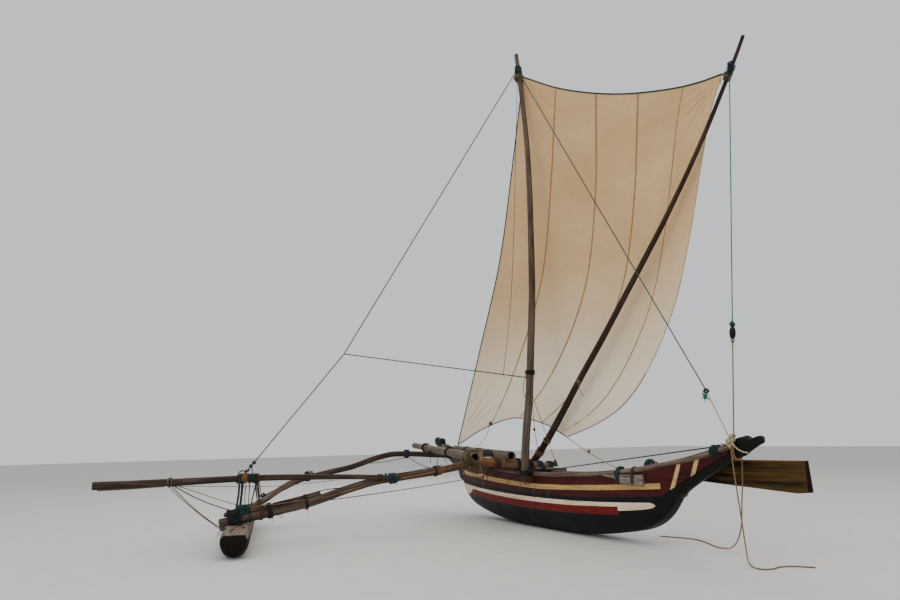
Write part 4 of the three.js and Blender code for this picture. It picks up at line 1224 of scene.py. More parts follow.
def tangle(shape, centre, size, rope, seed, mark):
    """A knot: one rope that winds over and through an egg of the given half sizes."""
    local = random.Random(seed)
    phase, lean = local.uniform(0, 6.3), local.uniform(0.6, 1.4)
    points = []
    for i in range(26):
        t = i * 2 * math.pi / 7.3 + phase
        reach = 0.75 + 0.3 * local.random()
        points.append((centre[0] + size[0] * reach * math.cos(t) * math.cos(lean * i),
                       centre[1] + size[1] * reach * math.sin(t),
                       centre[2] + size[2] * reach * math.cos(t) * math.sin(lean * i)))
    shape.tube(spline(points, rope * 1.6), rope, 7, mark=mark)


NEAR_BOOM_POLES = ("near_boom", "near_boom_top_pole")
# Lashings: timbers, middle, direction, width, look
WRAPPINGS = {
    "float_lashing": (NEAR_BOOM_POLES, (-0.5, -5.29, 0.445), (0, 1, 0.15), 0.12, "black_rope"),
    "near_boom_lashing_outer": (NEAR_BOOM_POLES, (-0.5, -4.74, 0.53), (0, 1, 0.17), 0.07, "black_rope"),
    "near_boom_lashing_inner": (NEAR_BOOM_POLES, (-0.5, -4.19, 0.64), (0, 1, 0.2), 0.05, "black_rope"),
    "long_pole_lashing": (["near_boom", "long_pole"], (-0.45, -2.75, 0.935), (0, 1, 0.1), 0.11, "green_rope"),
    "near_boom_splice": (
        ["near_boom", "near_boom_bamboo"], (-0.42, -0.86, 1.07), (0, 1, -0.1), 0.13, "brown_rope"),
    "near_boom_tail_lashing": (
        ["near_boom_bamboo", "near_boom_tail"], (-0.3, 0.04, 1.005), (0, 1, -0.05), 0.09, "green_rope"),
    "far_boom_lashing": (
        ["far_boom", "far_boom_lower_pole"], (-2.85, -3.52, 0.89), (0, 1, 0.35), 0.07, "black_rope"),
    "mast_foot_lashing": (["mast"], (-0.2, -0.362, 0.925), (0.02, 0, 1), 0.09, "black_rope"),
    "mast_head_lashing": (["mast"], (0.111, -0.362, 8.4), (-0.13, 0, 0.99), 0.19, "green_rope"),
    "sprit_head_lashing": (["sprit"], (4.415, 0.222, 6.38), (0.59, 0.004, 0.807), 0.12, "green_rope"),
}
THICK_WRAPPINGS = ("float_lashing", "mast_head_lashing", "near_boom_splice")
# Loose ends of a lashing: start, length, lean
LOOSE_ENDS = {
    "float_lashing": [((-0.42, -5.25, 0.44), 0.07, (0.02, -0.06)), ((-0.43, -5.2, 0.46), 0.06, (0.02, 0.05))],
    "near_boom_lashing_outer": [
        ((-0.44, -4.72, 0.47), 0.10, (0.01, 0.03)), ((-0.44, -4.66, 0.49), 0.07, (0.02, 0.08)),
        ((-0.43, -4.6, 0.5), 0.08, (0.0, 0.04))],
    "near_boom_lashing_inner": [((-0.44, -4.19, 0.56), 0.09, (0.01, 0.02))],
    "long_pole_lashing": [((-0.36, -2.74, 0.87), 0.06, (0.0, 0.01))],
    "far_boom_lashing": [((-2.76, -3.5, 0.86), 0.09, (0.0, 0.03))],
}


def add_lashings():
    for i, (name, (timbers, centre, direction, width, look)) in enumerate(WRAPPINGS.items()):
        shape = Shape()
        rope, layers = (0.008 if name in THICK_WRAPPINGS else 0.0065), 2
        if name == "mast_foot_lashing":
            rope, layers = 0.006, 1
        wound(shape, timbers, centre, direction, width, rope, layers, i + 3)
        for j, (start, length, lean) in enumerate(LOOSE_ENDS.get(name, [])):
            dangling(shape, start, length, lean, 10 * i + j)
        if name == "sprit_head_lashing":
            shape.tube(polyline([(4.255, 0.247, 6.436), (4.415, 0.224, 6.385)], 0.01), 0.012, 9, lobes=3)
        body = "sprit" if name.startswith("sprit") else "canoe"
        shape.make(name + "_turns", LOOKS[look], body=body, nodes=[name])


# Rigging
KINK = (-0.449, -3.615, 2.93)
# Stays: points, radius, look
STAYS = {
    "windward_stay": ([(0.07, -0.385, 8.47), KINK, (-0.712, -5.115, 1.035)], 0.009, "green_rope"),
    "mast_guy": ([KINK, (0.07, -0.362, 2.565)], 0.009, "green_rope"),
    "float_strop_near": ([(-0.7, -5.1, 1.0), (-0.5, -5.18, 0.44)], 0.014, "black_rope"),
    "float_strop_far": ([(-0.68, -4.9, 1.0), (-2.79, -4.56, 0.415)], 0.012, "brown_rope"),
    "sail_tack_line": ([(-3.532, 0.049, 1.394), (-3.532, rail_y(3.532), 1.23)], 0.008, "brown_rope"),
}
FORE_STAY = [(0.168, -0.362, 8.33), (3.729, -0.01, 2.102), (4.11, -0.052, 1.418)]
GUY_TOP, GUY_FOOT = np.array((4.42, 0.218, 6.36)), np.array((4.11, -0.022, 1.415))
GUY_BLOCK_Z = 2.807
SHEET_RAIL, SHEET_CLEW = (2.13, -rail_y(2.13), 1.04), (0.1, 0.363, 1.522)


def two_part_rope(name, points, radii, looks, **options):
    """Two straight lengths of rope, each with its own look."""
    shape = Shape()
    for k in (0, 1):
        shape.tube(polyline(points[k:k + 2], 0.03), radii[k], 9, lobes=3, mark=k)
    return shape.make(name, [LOOKS[look] for look in looks], **options)


def add_guy_block(middle):
    """The block and the frayed knot halfway up the sprit's guy."""
    shape = Shape()
    down = (GUY_FOOT - GUY_TOP) / np.linalg.norm(GUY_FOOT - GUY_TOP)
    body = [middle + down * s for s in (-0.075, -0.06, -0.03, 0.0, 0.03, 0.06, 0.075)]
    shape.tube(np.array(body), [0.012, 0.03, 0.038, 0.04, 0.038, 0.03, 0.012], 14)
    ring = [middle + down * (0.095 + 0.03 * math.sin(t)) + np.array((0, 0.03 * math.cos(t), 0))
            for t in np.linspace(0, 2 * math.pi, 17)]
    shape.tube(np.array(ring), 0.006, 8)
    tangle(shape, middle - down * 0.11, (0.035, 0.035, 0.05), 0.007, 5, 1)
    for i in range(6):
        lean = (0.03 * math.cos(i), 0.03 * math.sin(i))
        dangling(shape, tuple(middle - down * 0.1), 0.05 + 0.01 * i, lean, i, 0.003, 1)
    block = shape.make("guy_block", [LOOKS["tarred"], LOOKS["teal_rope"]], body=None, slot="spar_wood")
    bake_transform(block)


def add_guy():
    share = (GUY_BLOCK_Z - GUY_FOOT[2]) / (GUY_TOP[2] - GUY_FOOT[2])
    middle = GUY_FOOT + (GUY_TOP - GUY_FOOT) * share
    guy = two_part_rope(
        "sprit_guy_rope", [GUY_TOP, middle, GUY_FOOT], (0.008, 0.009), ("bright_rope", "tan_rope"),
        body=None, nodes=["sprit_guy"])
    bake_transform(guy)
    add_guy_block(middle)


def add_stays():
    for name, (points, radius, look) in STAYS.items():
        stay = Shape().tube(polyline(points, 0.03), radius, 9, lobes=3)
        stay.make(name + "_rope", LOOKS[look], nodes=[name])
    two_part_rope("fore_stay_rope", FORE_STAY, (0.009, 0.009), ("sea_rope", "pale_rope"), nodes=["fore_stay"])
    add_guy()
    sheet = Shape().tube(sagging(SHEET_CLEW, SHEET_RAIL, 0.03), 0.007, 9, lobes=3).make(
        "sail_sheet_rope", LOOKS["tan_rope"], body=None, nodes=["sail_sheet_line"])
    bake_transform(sheet)


# Loose and taut lines beyond the main stays: look, radius, sag, points
CANOE_LINES = (
    # the orange rope along the near boom, and the thin one over it
    ("orange_rope", 0.007, 0, [
        (-0.44, -4.84, 0.632), (-0.45, -4.71, 0.62), (-0.44, -4.24, 0.655), (-0.43, -3.98, 0.672),
        (-0.425, -3.38, 0.8), (-0.42, -2.9, 0.893)]),
    ("orange_rope", 0.011, 0, [
        (-0.42, -2.9, 0.893), (-0.43, -2.42, 0.938), (-0.435, -1.98, 1.0), (-0.43, -1.7, 1.05)]),
    ("red_rope", 0.006, 0, [
        (-0.47, -2.7, 0.99), (-0.48, -2.4, 1.02), (-0.49, -2.1, 1.062), (-0.47, -1.95, 1.075)]),
    ("orange_rope", 0.010, 0, [
        (-0.43, -1.93, 1.06), (-0.43, -1.86, 1.02), (-0.43, -1.79, 1.09), (-0.43, -1.73, 1.045),
        (-0.43, -1.65, 1.12), (-0.43, -1.58, 1.075), (-0.43, -1.5, 1.135), (-0.44, -1.4, 1.12)]),
    # taut lines from the near boom back to the hull and over the water side
    ("green_rope", 0.008, 0.02, [(-0.44, -4.62, 0.585), (-2.77, -0.27, 0.69)]),
    ("black_rope", 0.008, 0, [
        (-0.47, -4.7, 0.635), (-0.48, -4.28, 0.71), (-0.48, -3.9, 0.79), (-0.46, -3.6, 0.81)]),
    # under the long pole and from it to the float
    ("tan_rope", 0.009, 0, [
        (-0.985, -7.08, 0.905), (-0.965, -6.9, 0.908), (-0.935, -6.6, 0.914), (-0.88, -6.2, 0.93)]),
    ("tan_rope", 0.007, 0.03, [(-0.86, -6.15, 0.93), (0.0, -5.5, 0.35)]),
    ("sea_rope", 0.007, 0.05, [(-0.86, -6.1, 0.93), (0.02, -5.47, 0.355)]),
    ("dark_rope", 0.008, 0.04, [(-0.86, -6.08, 0.94), (-0.53, -5.28, 0.56)]),
    ("tan_rope", 0.007, 0.05, [(-0.86, -6.05, 0.94), (-0.5, -5.05, 0.6), (-0.45, -4.83, 0.62)]),
    ("tan_rope", 0.005, 0, [
        (-0.87, -6.12, 0.93), (-0.76, -5.5, 0.905), (-0.63, -4.6, 0.875), (-0.46, -3.75, 0.93)]),
    # hangers from the long pole to the near boom's end
    ("green_rope", 0.017, 0, [
        (-0.66, -5.15, 1.06), (-0.63, -5.17, 0.98), (-0.56, -5.19, 0.8), (-0.52, -5.22, 0.62),
        (-0.46, -5.26, 0.48)]),
    ("black_rope", 0.017, 0, [
        (-0.68, -5.13, 1.06), (-0.65, -5.13, 0.97), (-0.6, -5.14, 0.8), (-0.55, -5.17, 0.62),
        (-0.48, -5.22, 0.5)]),
    ("red_rope", 0.007, 0, [(-0.64, -5.07, 0.98), (-0.6, -5.09, 0.75), (-0.5, -5.1, 0.57)]),
    ("dark_rope", 0.008, 0, [(-0.64, -5.02, 0.98), (-0.6, -5.03, 0.75), (-0.5, -5.05, 0.58)]),
    # straps from the long pole down to the far boom's lower pole
    ("dark_rope", 0.012, 0, [(-0.68, -4.93, 0.97), (-2.77, -4.45, 0.49)]),
    ("black_rope", 0.02, 0, [(-0.68, -4.9, 0.97), (-2.78, -4.41, 0.51)]),
    ("red_rope", 0.008, 0, [(-0.68, -4.87, 0.98), (-2.78, -4.37, 0.53)]),
    # the loop over the long pole and the tail of the stay's block
    ("black_rope", 0.009, 0, [
        (-0.69, -5.18, 1.04), (-0.69, -5.17, 1.1), (-0.69, -5.12, 1.12), (-0.69, -5.07, 1.1),
        (-0.69, -5.05, 1.04)]),
    ("brown_rope", 0.008, 0, [
        (-0.687, -4.99, 1.19), (-0.672, -4.98, 1.1), (-0.66, -4.98, 1.03), (-0.655, -4.98, 0.98)]),
    # over the float's flat top
    ("dark_rope", 0.006, 0, [
        (-0.42, -5.25, 0.42), (-0.2, -5.2, 0.372), (0.0, -5.2, 0.366), (0.05, -5.14, 0.34)]),
    ("dark_rope", 0.006, 0, [
        (-0.43, -5.1, 0.4), (-0.3, -5.2, 0.372), (-0.1, -5.31, 0.367), (0.15, -5.38, 0.362),
        (0.2, -5.5, 0.33)]),
    # off the far boom
    ("bright_rope", 0.009, 0.03, [(-2.86, -1.44, 1.19), (-0.52, -1.98, 1.03)]),
    ("dark_rope", 0.007, 0.02, [(-2.87, -2.33, 1.09), (-2.87, -1.5, 1.18)]),
    # under and off the windward spare bamboo
    ("brown_rope", 0.006, 0, [(-2.86, -0.93, 1.3), (-2.85, -0.95, 1.2), (-2.86, -0.94, 1.05)]),
    ("brown_rope", 0.007, 0, [
        (-2.3, -1.0, 1.26), (-2.3, -1.04, 1.16), (-2.3, -1.06, 1.08), (-2.28, -1.02, 1.0),
        (-2.26, -0.98, 1.04)]),
    ("brown_rope", 0.006, 0, [(-2.1, -1.04, 1.25), (-2.1, -1.0, 1.15), (-2.08, -0.95, 1.07)]),
    # strands of the net bundle, hanging below the bamboo's end
    ("olive_rope", 0.010, 0, [
        (-0.22, -1.5, 1.2), (-0.22, -1.6, 1.1), (-0.22, -1.565, 0.98), (-0.22, -1.454, 0.86),
        (-0.22, -1.302, 0.8), (-0.3, -1.15, 0.87), (-0.35, -1.12, 1.06)]),
    ("olive_rope", 0.009, 0, [
        (-0.2, -1.46, 1.17), (-0.2, -1.52, 1.12), (-0.2, -1.49, 1.01), (-0.2, -1.38, 0.9),
        (-0.2, -1.24, 0.88), (-0.3, -1.14, 0.95), (-0.35, -1.14, 1.08)]),
    ("tan_rope", 0.008, 0, [
        (-0.24, -1.44, 1.16), (-0.24, -1.45, 1.04), (-0.24, -1.38, 0.95), (-0.24, -1.28, 0.93),
        (-0.3, -1.2, 1.08)]),
    ("olive_rope", 0.008, 0, [
        (-0.2, -1.36, 1.15), (-0.2, -1.38, 1.05), (-0.22, -1.3, 0.86), (-0.24, -1.28, 0.8)]),
    ("olive_rope", 0.008, 0, [(-0.22, -1.3, 1.15), (-0.22, -1.28, 1.0), (-0.24, -1.3, 0.88)]),
    ("tan_rope", 0.008, 0, [
        (-0.3, -1.2, 1.08), (-0.3, -1.18, 0.96), (-0.3, -1.19, 0.86), (-0.3, -1.17, 0.76)]),
    ("brown_rope", 0.008, 0, [
        (-1.6, -0.27, 0.96), (-1.6, -0.31, 0.9), (-1.6, -0.335, 0.8), (-1.6, -0.345, 0.7),
        (-1.6, -0.35, 0.62)]),
    # round the mast's foot
    ("sea_rope", 0.010, 0, [
        (-0.9, -0.25, 0.965), (-0.6, -0.29, 0.955), (-0.3, -0.31, 0.94), (-0.1, -0.31, 0.93)]),
    ("dark_rope", 0.008, 0, [(-0.13, -0.42, 0.85), (-0.12, -0.425, 0.78), (-0.12, -0.42, 0.73)]),
    # beside the mast
    ("brown_rope", 0.005, 0.0, [
        (0.03, -0.3, 2.24), (0.03, -0.28, 1.68), (0.05, -0.25, 1.3), (-0.24, -0.12, 1.12)]),
    ("tan_rope", 0.006, 0.0, [(0.03, -0.3, 2.27), (-0.1, 0.21, 1.13)]),
    ("dark_rope", 0.006, 0, [
        (0.06, -0.43, 2.62), (0.0, -0.44, 2.5), (-0.03, -0.44, 2.35), (0.0, -0.44, 2.24),
        (0.06, -0.43, 2.3)]),
    # the taut line from the bamboo's end to the near end of the windward rail
    ("green_rope", 0.009, 0, [(-0.26, 0.2, 0.955), (3.85, -0.1, 1.375)]),
    # rope round the near head, and the bits beside it
    ("pale_rope", 0.011, 0, [
        (4.13, -0.09, 1.45), (4.07, -0.095, 1.47), (4.06, -0.1, 1.42), (4.1, -0.1, 1.38),
        (4.15, -0.1, 1.42), (4.16, -0.09, 1.5), (4.11, -0.08, 1.5), (4.09, -0.095, 1.42),
        (4.12, -0.1, 1.36)]),
    ("pale_rope", 0.010, 0, [
        (4.14, -0.095, 1.46), (4.17, -0.095, 1.4), (4.22, -0.09, 1.35), (4.29, -0.085, 1.318),
        (4.36, -0.08, 1.306)]),
    ("red_rope", 0.010, 0, [(3.98, -0.1, 1.41), (4.04, -0.1, 1.4), (4.1, -0.1, 1.41)]),
    # in front of the sail, down to the blue knot and on to the spare bamboo
    ("dark_rope", 0.005, 0, [
        (0.11, -0.39, 8.35), (-0.456, -0.33, 4.413), (-0.718, -0.3, 3.46), (-0.97, -0.28, 2.69)]),
    ("tan_rope", 0.006, 0, [
        (-2.25, 0.14, 1.83), (-2.15, 0.0, 1.6), (-2.08, -0.17, 1.45), (-2.05, -0.32, 1.36)]),
)
SPRIT_LINES = (
    ("brown_rope", 0.004, 0.0, [(2.6, 0.14, 4.2), (1.55, 0.13, 3.08), (0.47, 0.13, 2.06)]),
    ("tan_rope", 0.006, 0.0, [(0.8, 0.13, 2.44), (0.86, 0.12, 2.3), (0.95, 0.12, 2.2)]),
)
LINES = {"canoe": CANOE_LINES, "sprit": SPRIT_LINES}

# Rope wound round timbers: look, timbers, middle, direction, width, rope's radius, layers
CANOE_BINDINGS = (
    ("black_rope", ("long_pole",), (-0.7, -5.16, 1.0), (0.17, 1, 0), 0.07, 0.009, 2),
    ("orange_rope", ("long_pole",), (-0.69, -5.08, 1.0), (0.17, 1, 0), 0.075, 0.009, 2),
    ("green_rope", ("long_pole",), (-0.68, -4.99, 1.0), (0.17, 1, 0), 0.09, 0.007, 2),
    ("dark_rope", ("long_pole",), (-0.67, -4.92, 1.0), (0.17, 1, 0), 0.05, 0.009, 2),
    ("red_rope", ("long_pole",), (-0.66, -4.88, 1.0), (0.17, 1, 0), 0.03, 0.008, 1),
    ("tan_rope", ("long_pole",), (-0.867, -6.13, 0.98), (0.13, 1, 0), 0.06, 0.006, 1),
    ("black_rope", ("long_pole",), (-0.867, -6.13, 0.98), (0.13, 1, 0), 0.035, 0.007, 2),
    ("teal_rope", ("near_boom_top_pole",), (-0.5, -5.12, 0.54), (0, 1, 0.1), 0.13, 0.009, 2),
    ("black_rope", NEAR_BOOM_POLES, (-0.5, -5.2, 0.46), (0, 1, 0.15), 0.06, 0.009, 2),
    ("dark_rope", NEAR_BOOM_POLES, (-0.5, -5.03, 0.5), (0, 1, 0.15), 0.02, 0.007, 1),
    ("red_rope", NEAR_BOOM_POLES, (-0.5, -4.87, 0.52), (0, 1, 0.15), 0.05, 0.007, 1),
    ("orange_rope", ("near_boom",), (-0.49, -1.91, 1.01), (0, 1, 0.13), 0.11, 0.008, 1),
    ("dark_rope", ("near_boom",), (-0.49, -1.97, 1.0), (0, 1, 0.13), 0.04, 0.008, 2),
    ("green_cloth", ("long_pole",), (-0.4, -2.87, 0.94), (0.1, 1, 0), 0.11, 0.018, 1),
    ("brown_rope", ("long_pole",), (-0.4, -3.0, 0.95), (0.1, 1, 0), 0.09, 0.009, 1),
    ("blue_rope", ("far_boom",), (-2.9, -1.46, 1.25), (0, 1, 0), 0.08, 0.009, 2),
    ("black_rope", ("spare_bamboo_1",), (-3.3, -0.84, 1.36), (1, -0.17, 0), 0.05, 0.01, 2),
    ("tan_rope", ("spare_bamboo_1",), (-3.1, -0.87, 1.35), (1, -0.17, 0), 0.04, 0.009, 1),
    ("black_rope", ("spare_bamboo_1",), (-1.6, -1.14, 1.28), (1, -0.17, 0), 0.05, 0.009, 2),
    ("olive_rope", ("spare_bamboo_1",), (-0.36, -1.36, 1.23), (1, -0.17, 0), 0.3, 0.011, 2),
    ("tan_rope", ("spare_bamboo_1", "near_boom_bamboo"), (-0.35, -1.24, 1.17), (0.2, 1, -0.1),
     0.09, 0.009, 1),
    ("dark_rope", ("spare_bamboo_2", "tarred_pole"), (-2.55, -0.24, 1.3), (1, -0.17, 0), 0.05, 0.006, 1),
    ("dark_rope", ("spare_bamboo_2", "tarred_pole"), (-1.8, -0.37, 1.27), (1, -0.17, 0), 0.04, 0.006, 1),
    ("red_rope", ("near_boom_bamboo",), (-0.343, -0.69, 1.1), (0, 1, -0.1), 0.022, 0.006, 1),
    ("black_rope", ("near_boom_bamboo",), (-0.343, -0.42, 1.07), (0, 1, -0.1), 0.07, 0.01, 2),
    ("dark_rope", ("near_boom_bamboo",), (-0.343, -0.17, 1.04), (0, 1, -0.1), 0.08, 0.01, 2),
    ("blue_rope", ("near_boom_bamboo",), (-0.343, -0.01, 1.03), (0, 1, -0.1), 0.06, 0.01, 1),
    ("teal_rope", ("near_boom_bamboo",), (-0.343, 0.24, 1.01), (0, 1, -0.1), 0.09, 0.009, 2),
    ("dark_rope", ("mast",), (0.08, -0.362, 2.66), (0.1, 0, 1), 0.07, 0.008, 2),
    ("teal_rope", ("mast",), (0.11, -0.362, 8.52), (-0.13, 0, 1), 0.05, 0.008, 2),
    ("olive_rope", ("mast",), (0.12, -0.362, 8.3), (-0.13, 0, 1), 0.06, 0.009, 3),
    ("green_rope", ("gunwale_windward",), (3.86, -0.08, 1.33), (1, 0, 0.35), 0.12, 0.009, 2),
    ("green_rope", ("gunwale_windward",), (2.12, -0.2, 1.01), (1, 0, 0.1), 0.07, 0.009, 2),
)
SPRIT_BINDINGS = (
    ("orange_rope", ("sprit",), (-0.54, 0.196, 1.27), (0.78, 0, 0.62), 0.11, 0.008, 1),
    ("tan_rope", ("sprit",), (-0.3, 0.197, 1.47), (0.77, 0, 0.64), 0.03, 0.008, 1),
    ("blue_rope", ("sprit",), (4.46, 0.222, 6.44), (0.59, 0, 0.8), 0.05, 0.008, 2),
    ("olive_rope", ("sprit",), (4.37, 0.221, 6.31), (0.59, 0, 0.8), 0.05, 0.008, 2),
)
OAR_BINDINGS = (
    ("teal_rope", ("steering_oar_loom",), (2.262, 0.258, 1.106), (1, 0, -0.04), 0.08, 0.009, 3),
)
BINDINGS = {"canoe": CANOE_BINDINGS, "sprit": SPRIT_BINDINGS, "steering_oar": OAR_BINDINGS}

# Knots: look, middle, half sizes, rope's radius, loose ends
CANOE_KNOTS = (
    ("teal_rope", (0.0, -5.49, 0.36), (0.035, 0.035, 0.03), 0.008, 3),
    ("teal_rope", (-0.46, -5.13, 0.6), (0.04, 0.09, 0.05), 0.008, 5),
    ("black_rope", (-0.44, -5.24, 0.5), (0.03, 0.06, 0.06), 0.009, 3),
    ("brown_rope", (-0.685, -4.955, 1.235), (0.014, 0.026, 0.028), 0.007, 0),
    ("brown_rope", (-0.69, -5.0, 1.185), (0.014, 0.024, 0.028), 0.007, 0),
    ("black_rope", (-0.7, -5.045, 1.13), (0.012, 0.026, 0.026), 0.007, 1),
    ("blue_rope", (-2.86, -4.33, 0.585), (0.045, 0.05, 0.045), 0.009, 2),
    ("teal_rope", (-0.44, -1.95, 1.075), (0.03, 0.035, 0.025), 0.008, 2),
    ("sea_rope", (-0.44, -2.03, 0.96), (0.015, 0.02, 0.03), 0.007, 2),
    ("brown_rope", (-0.37, -2.74, 0.97), (0.02, 0.04, 0.035), 0.009, 1),
    ("teal_rope", (-1.6, -1.17, 1.2), (0.03, 0.035, 0.03), 0.008, 2),
    ("olive_rope", (-0.18, -1.46, 1.2), (0.05, 0.07, 0.07), 0.01, 4),
    ("olive_rope", (-0.28, -1.33, 1.12), (0.06, 0.07, 0.06), 0.01, 4),
    ("brown_rope", (-0.2, -0.3, 0.99), (0.05, 0.05, 0.04), 0.009, 1),
    ("black_rope", (-0.1, -0.3, 0.97), (0.05, 0.06, 0.06), 0.011, 4),
    ("teal_rope", (-0.28, 0.26, 1.06), (0.05, 0.045, 0.045), 0.009, 3),
    ("black_rope", (3.729, -0.01, 2.1), (0.03, 0.05, 0.035), 0.009, 1),
    ("bright_rope", (3.735, -0.045, 2.04), (0.012, 0.03, 0.06), 0.008, 5),
    ("pale_rope", (4.16, -0.085, 1.5), (0.04, 0.035, 0.035), 0.01, 2),
    ("pale_rope", (4.1, -0.1, 1.43), (0.03, 0.02, 0.04), 0.01, 1),
    ("green_rope", (3.87, -0.115, 1.36), (0.05, 0.03, 0.045), 0.009, 4),
    ("teal_rope", (2.12, -0.25, 0.985), (0.06, 0.02, 0.07), 0.008, 4),
    ("tan_rope", (1.04, 0.095, 1.295), (0.025, 0.02, 0.025), 0.007, 2),
    ("olive_rope", (0.1, -0.4, 8.3), (0.07, 0.06, 0.08), 0.009, 5),
    ("teal_rope", (0.12, -0.4, 8.45), (0.06, 0.05, 0.05), 0.008, 4),
    ("brown_rope", (0.03, -0.285, 1.67), (0.02, 0.02, 0.03), 0.006, 0),
    ("blue_rope", (-2.25, 0.155, 1.83), (0.04, 0.03, 0.04), 0.008, 2),
)
SPRIT_KNOTS = (
    ("olive_rope", (4.37, 0.19, 6.34), (0.06, 0.04, 0.07), 0.009, 5),
    ("blue_rope", (4.47, 0.19, 6.47), (0.05, 0.04, 0.05), 0.008, 4),
    ("tan_rope", (0.8, 0.14, 2.45), (0.03, 0.025, 0.035), 0.007, 1),
)
OAR_KNOTS = (
    ("teal_rope", (2.265, 0.258, 1.165), (0.045, 0.05, 0.025), 0.009, 5),
)
KNOTS = {"canoe": CANOE_KNOTS, "sprit": SPRIT_KNOTS, "steering_oar": OAR_KNOTS}


def add_roped(kind, tables, draw):
    """One piece for each body from its rows, which start with a look; draw adds a row to the piece."""
    for body, rows in tables.items():
        looks = list(dict.fromkeys(row[0] for row in rows))
        shape = Shape()
        for i, (look, *row) in enumerate(rows):
            draw(shape, i, looks.index(look), *row)
        shape.make(f"{kind}_on_{body}", [LOOKS[look] for look in looks], body=body, slot="green_rope")


def draw_line(shape, _, mark, radius, sag, points):
    path = sagging(points[0], points[-1], sag, 0.03) if len(points) == 2 else spline(points, 0.02)
    shape.tube(path, radius, 8, lobes=3, mark=mark)


def draw_binding(shape, i, mark, timbers, centre, direction, width, rope, layers):
    wound(shape, timbers, centre, direction, width, rope, layers, i + 40, mark, slope=0.006)


def draw_knot(shape, i, mark, centre, size, rope, tails):
    tangle(shape, centre, size, rope, i + 70, mark)
    for k in range(tails):
        turn = 2.4 * k + i
        start = tuple(c + s * f for c, s, f in zip(centre, size, (math.cos(turn), math.sin(turn), -0.3)))
        lean = (0.03 * math.cos(turn), 0.03 * math.sin(turn))
        dangling(shape, start, 0.04 + 0.02 * (k % 3), lean, 10 * i + k, rope * 0.6, mark)


def add_frill():
    """A row of pale tufts in the net bundle."""
    local = random.Random(5)
    shape = Shape()
    row = [(-0.18, -1.547, 1.0), (-0.18, -1.462, 0.964), (-0.18, -1.386, 0.935), (-0.18, -1.23, 0.935)]
    for point in spline(row, 0.02):
        for _ in range(3):
            reach = [local.uniform(low, 0.02) for low in (-0.02, -0.02, -0.05)]
            shape.tube(polyline([point, point + np.array(reach)], 0.015), 0.006, 6)
    shape.make("net_frill", LOOKS["pale_rope"], slot="coir_rope")


def add_rag():
    """A black rag on the tarred pole's end."""
    rag = Shape()
    for k in range(5):
        path = spline([(-1.4 + 0.1 * k, -0.5 - 0.02 * k, 1.30), (-1.3 + 0.09 * k, -0.54, 1.285),
                       (-1.1 + 0.06 * k, -0.56, 1.275), (-0.93 + 0.02 * k, -0.6, 1.255 - 0.02 * k)], 0.03)
        rag.tube(path, 0.019 - 0.002 * k, 9, lumps(k, 0.06, 0.3), (LOG_END, LOG_END))
    rag.make("black_rag", LOOKS["black_cloth"], slot="green_rope")


def add_rowlock_board():
    """The grey board bound under the windward rail."""
    xs = np.linspace(1.78, 2.63, 24)
    rings = []
    for x in xs:
        out = -half_breadth(x, 0.93) - 0.004
        low = 0.95 - 0.03 * min(1, (x - 1.77) / 0.2) - 0.08 * min(1, max(0, x - 2.05) / 0.14)
        high = 0.965 + 0.03 * (x - 1.78)
        rings += [(x, out, low), (x, out - 0.034, low + 0.004), (x, out - 0.036, (low + high) / 2),
                  (x, out - 0.03, high - 0.004), (x, out, high)]
    shape = Shape()
    shape.add(rings, capped_faces(len(xs), 5))
    tidy_normals(shape.make("rowlock_board", LOOKS["grey_plank"], slot="driftwood"))


# A loop over the rail: outward of the board's face, height
ROWLOCK_LOOP = (
    (0, 0.86), (-0.003, 0.95), (0.002, 1.02), (0.035, 1.075), (0.09, 1.085), (0.125, 1.05), (0.125, 0.98),
)


def add_rowlock_ropes():
    shape = Shape()
    for x, width, rope, mark in ((2.14, 0.05, 0.008, 0), (2.44, 0.03, 0.013, 1)):
        for k in range(int(width / (2 * rope)) + 1):
            at = x + (k - width / rope / 4) * 2 * rope
            side = -half_breadth(at, 0.93) - 0.045
            loop = [(at, side + out, z) for out, z in ROWLOCK_LOOP]
            shape.tube(spline(loop, 0.012), rope, 8, mark=mark)
    shape.make("rowlock_ropes", [LOOKS["green_rope"], LOOKS["brown_rope"]], slot="green_rope")


def add_cleat():
    """The brown block beside the sprit, where the thin line comes down."""
    outline = [(-0.17, 1.02), (-0.13, 1.1), (-0.1, 1.14), (-0.07, 1.1), (-0.03, 1.02)]
    slab("line_cleat", outline, 0.2, 0.235, LOOKS["block"], slot="spar_wood")


def add_neck():
    """Rope round the near head's neck."""
    shape = Shape()
    for k in range(4):
        x = 4.104 + 0.0125 * k
        high = 1.395 + 0.006 * k
        low = np.interp(x, STEM_LINE[:, 0], STEM_LINE[:, 1]) - 0.008
        half = sheer_half(x) + 0.012
        middle = (low + high) / 2
        ring = (
            (-1, high - 0.03), (-1, middle), (-0.75, low + 0.03), (0, low), (0.75, low + 0.03), (1, middle),
            (1, high - 0.03), (0.5, high), (0, high + 0.012), (-0.5, high), (-1, high - 0.03))
        shape.tube(spline([(x, half * share, z) for share, z in ring], 0.012), 0.0068, 8)
    shape.make("near_head_lashing_turns", LOOKS["tan_rope"], nodes=["near_head_lashing"])


OAR_PIVOT = (2.38, 0.258, 1.1016)


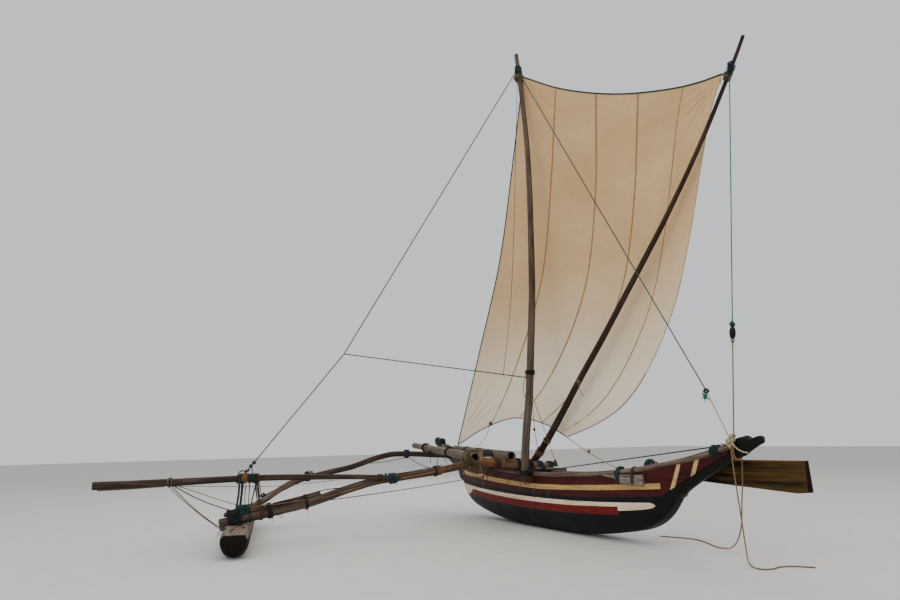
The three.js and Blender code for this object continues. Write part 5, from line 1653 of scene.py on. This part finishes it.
def add_grommet():
    """Three turns of rope round the oar's loom and the leeward rail."""
    shape = Shape()
    loom, rail = (OAR_PIVOT[1:], 0.042), ((rail_y(OAR_PIVOT[0]), sheer_z(OAR_PIVOT[0])), RAIL_RADIUS + 0.001)
    for k in (-1, 0, 1):
        x = OAR_PIVOT[0] + 0.011 * k
        loop = []
        for t in np.linspace(0, 2 * math.pi, 25):
            normal = np.array([math.cos(t), math.sin(t)])
            middle, radius = max((loom, rail), key=lambda r: normal @ r[0] + r[1])
            loop.append((x, *(np.array(middle) + normal * (radius + 0.008))))
        shape.tube(spline(loop, 0.012), 0.0058, 8)
    shape.make("steering_grommet_turns", LOOKS["green_rope"], nodes=["steering_oar_grommet"])


def dress_blocks():
    for name in ("mast_step", "sprit_step", "bamboo_chock"):
        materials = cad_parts[name].data.materials
        materials.clear()
        materials.append(LOOKS["block"])


# Floor and light
FLOOR_SIZE = 120
SKY_COLOUR, SKY_STRENGTH = (0.88, 0.9, 0.92, 1), 0.9
LAMPS_AIM = Vector((0, -1, 2))
# Lamps: name, place, size, power
LAMPS = (
    ("key", (9, -14, 13), 18, 1600), ("fill", (13, 8, 8), 10, 550), ("top", (-2, -1, 16), 12, 720),
    ("back", (-12, 6, 10), 8, 550),
)


def add_floor():
    look = Look("floor", 0.9)
    fleck = look.noise(look.place(), 3.0, 4, 0.6)
    bpy.ops.mesh.primitive_plane_add(size=FLOOR_SIZE)
    floor = bpy.context.object
    floor.name = "floor"
    floor.data.materials.append(look.finish(look.ramp(fleck, (0.3, "c2bfb9"), (0.7, "c9c6c0"))))


def add_light():
    world = bpy.data.worlds.new("world")
    bpy.context.scene.world = world
    world.use_nodes = True
    sky = world.node_tree.nodes["Background"]
    sky.inputs["Color"].default_value = SKY_COLOUR
    sky.inputs["Strength"].default_value = SKY_STRENGTH
    for name, place, size, power in LAMPS:
        data = bpy.data.lights.new(name, "AREA")
        data.size, data.energy = size, power
        lamp = bpy.data.objects.new(name, data)
        lamp.location = place
        lamp.rotation_euler = (LAMPS_AIM - Vector(place)).to_track_quat("-Z", "Y").to_euler()
        bpy.context.scene.collection.objects.link(lamp)


add_camera()
add_tails()
add_dugout()
add_strakes()
add_stems()
add_timbers()
add_bamboos()
add_float()
add_thwarts()
add_blade()
add_sail()
add_lashings()
add_stays()
add_neck()
add_grommet()
add_roped("lines", LINES, draw_line)
add_roped("bindings", BINDINGS, draw_binding)
add_roped("knots", KNOTS, draw_knot)
add_frill()
add_rag()
add_rowlock_board()
add_rowlock_ropes()
add_cleat()
dress_blocks()
add_floor()
add_light()
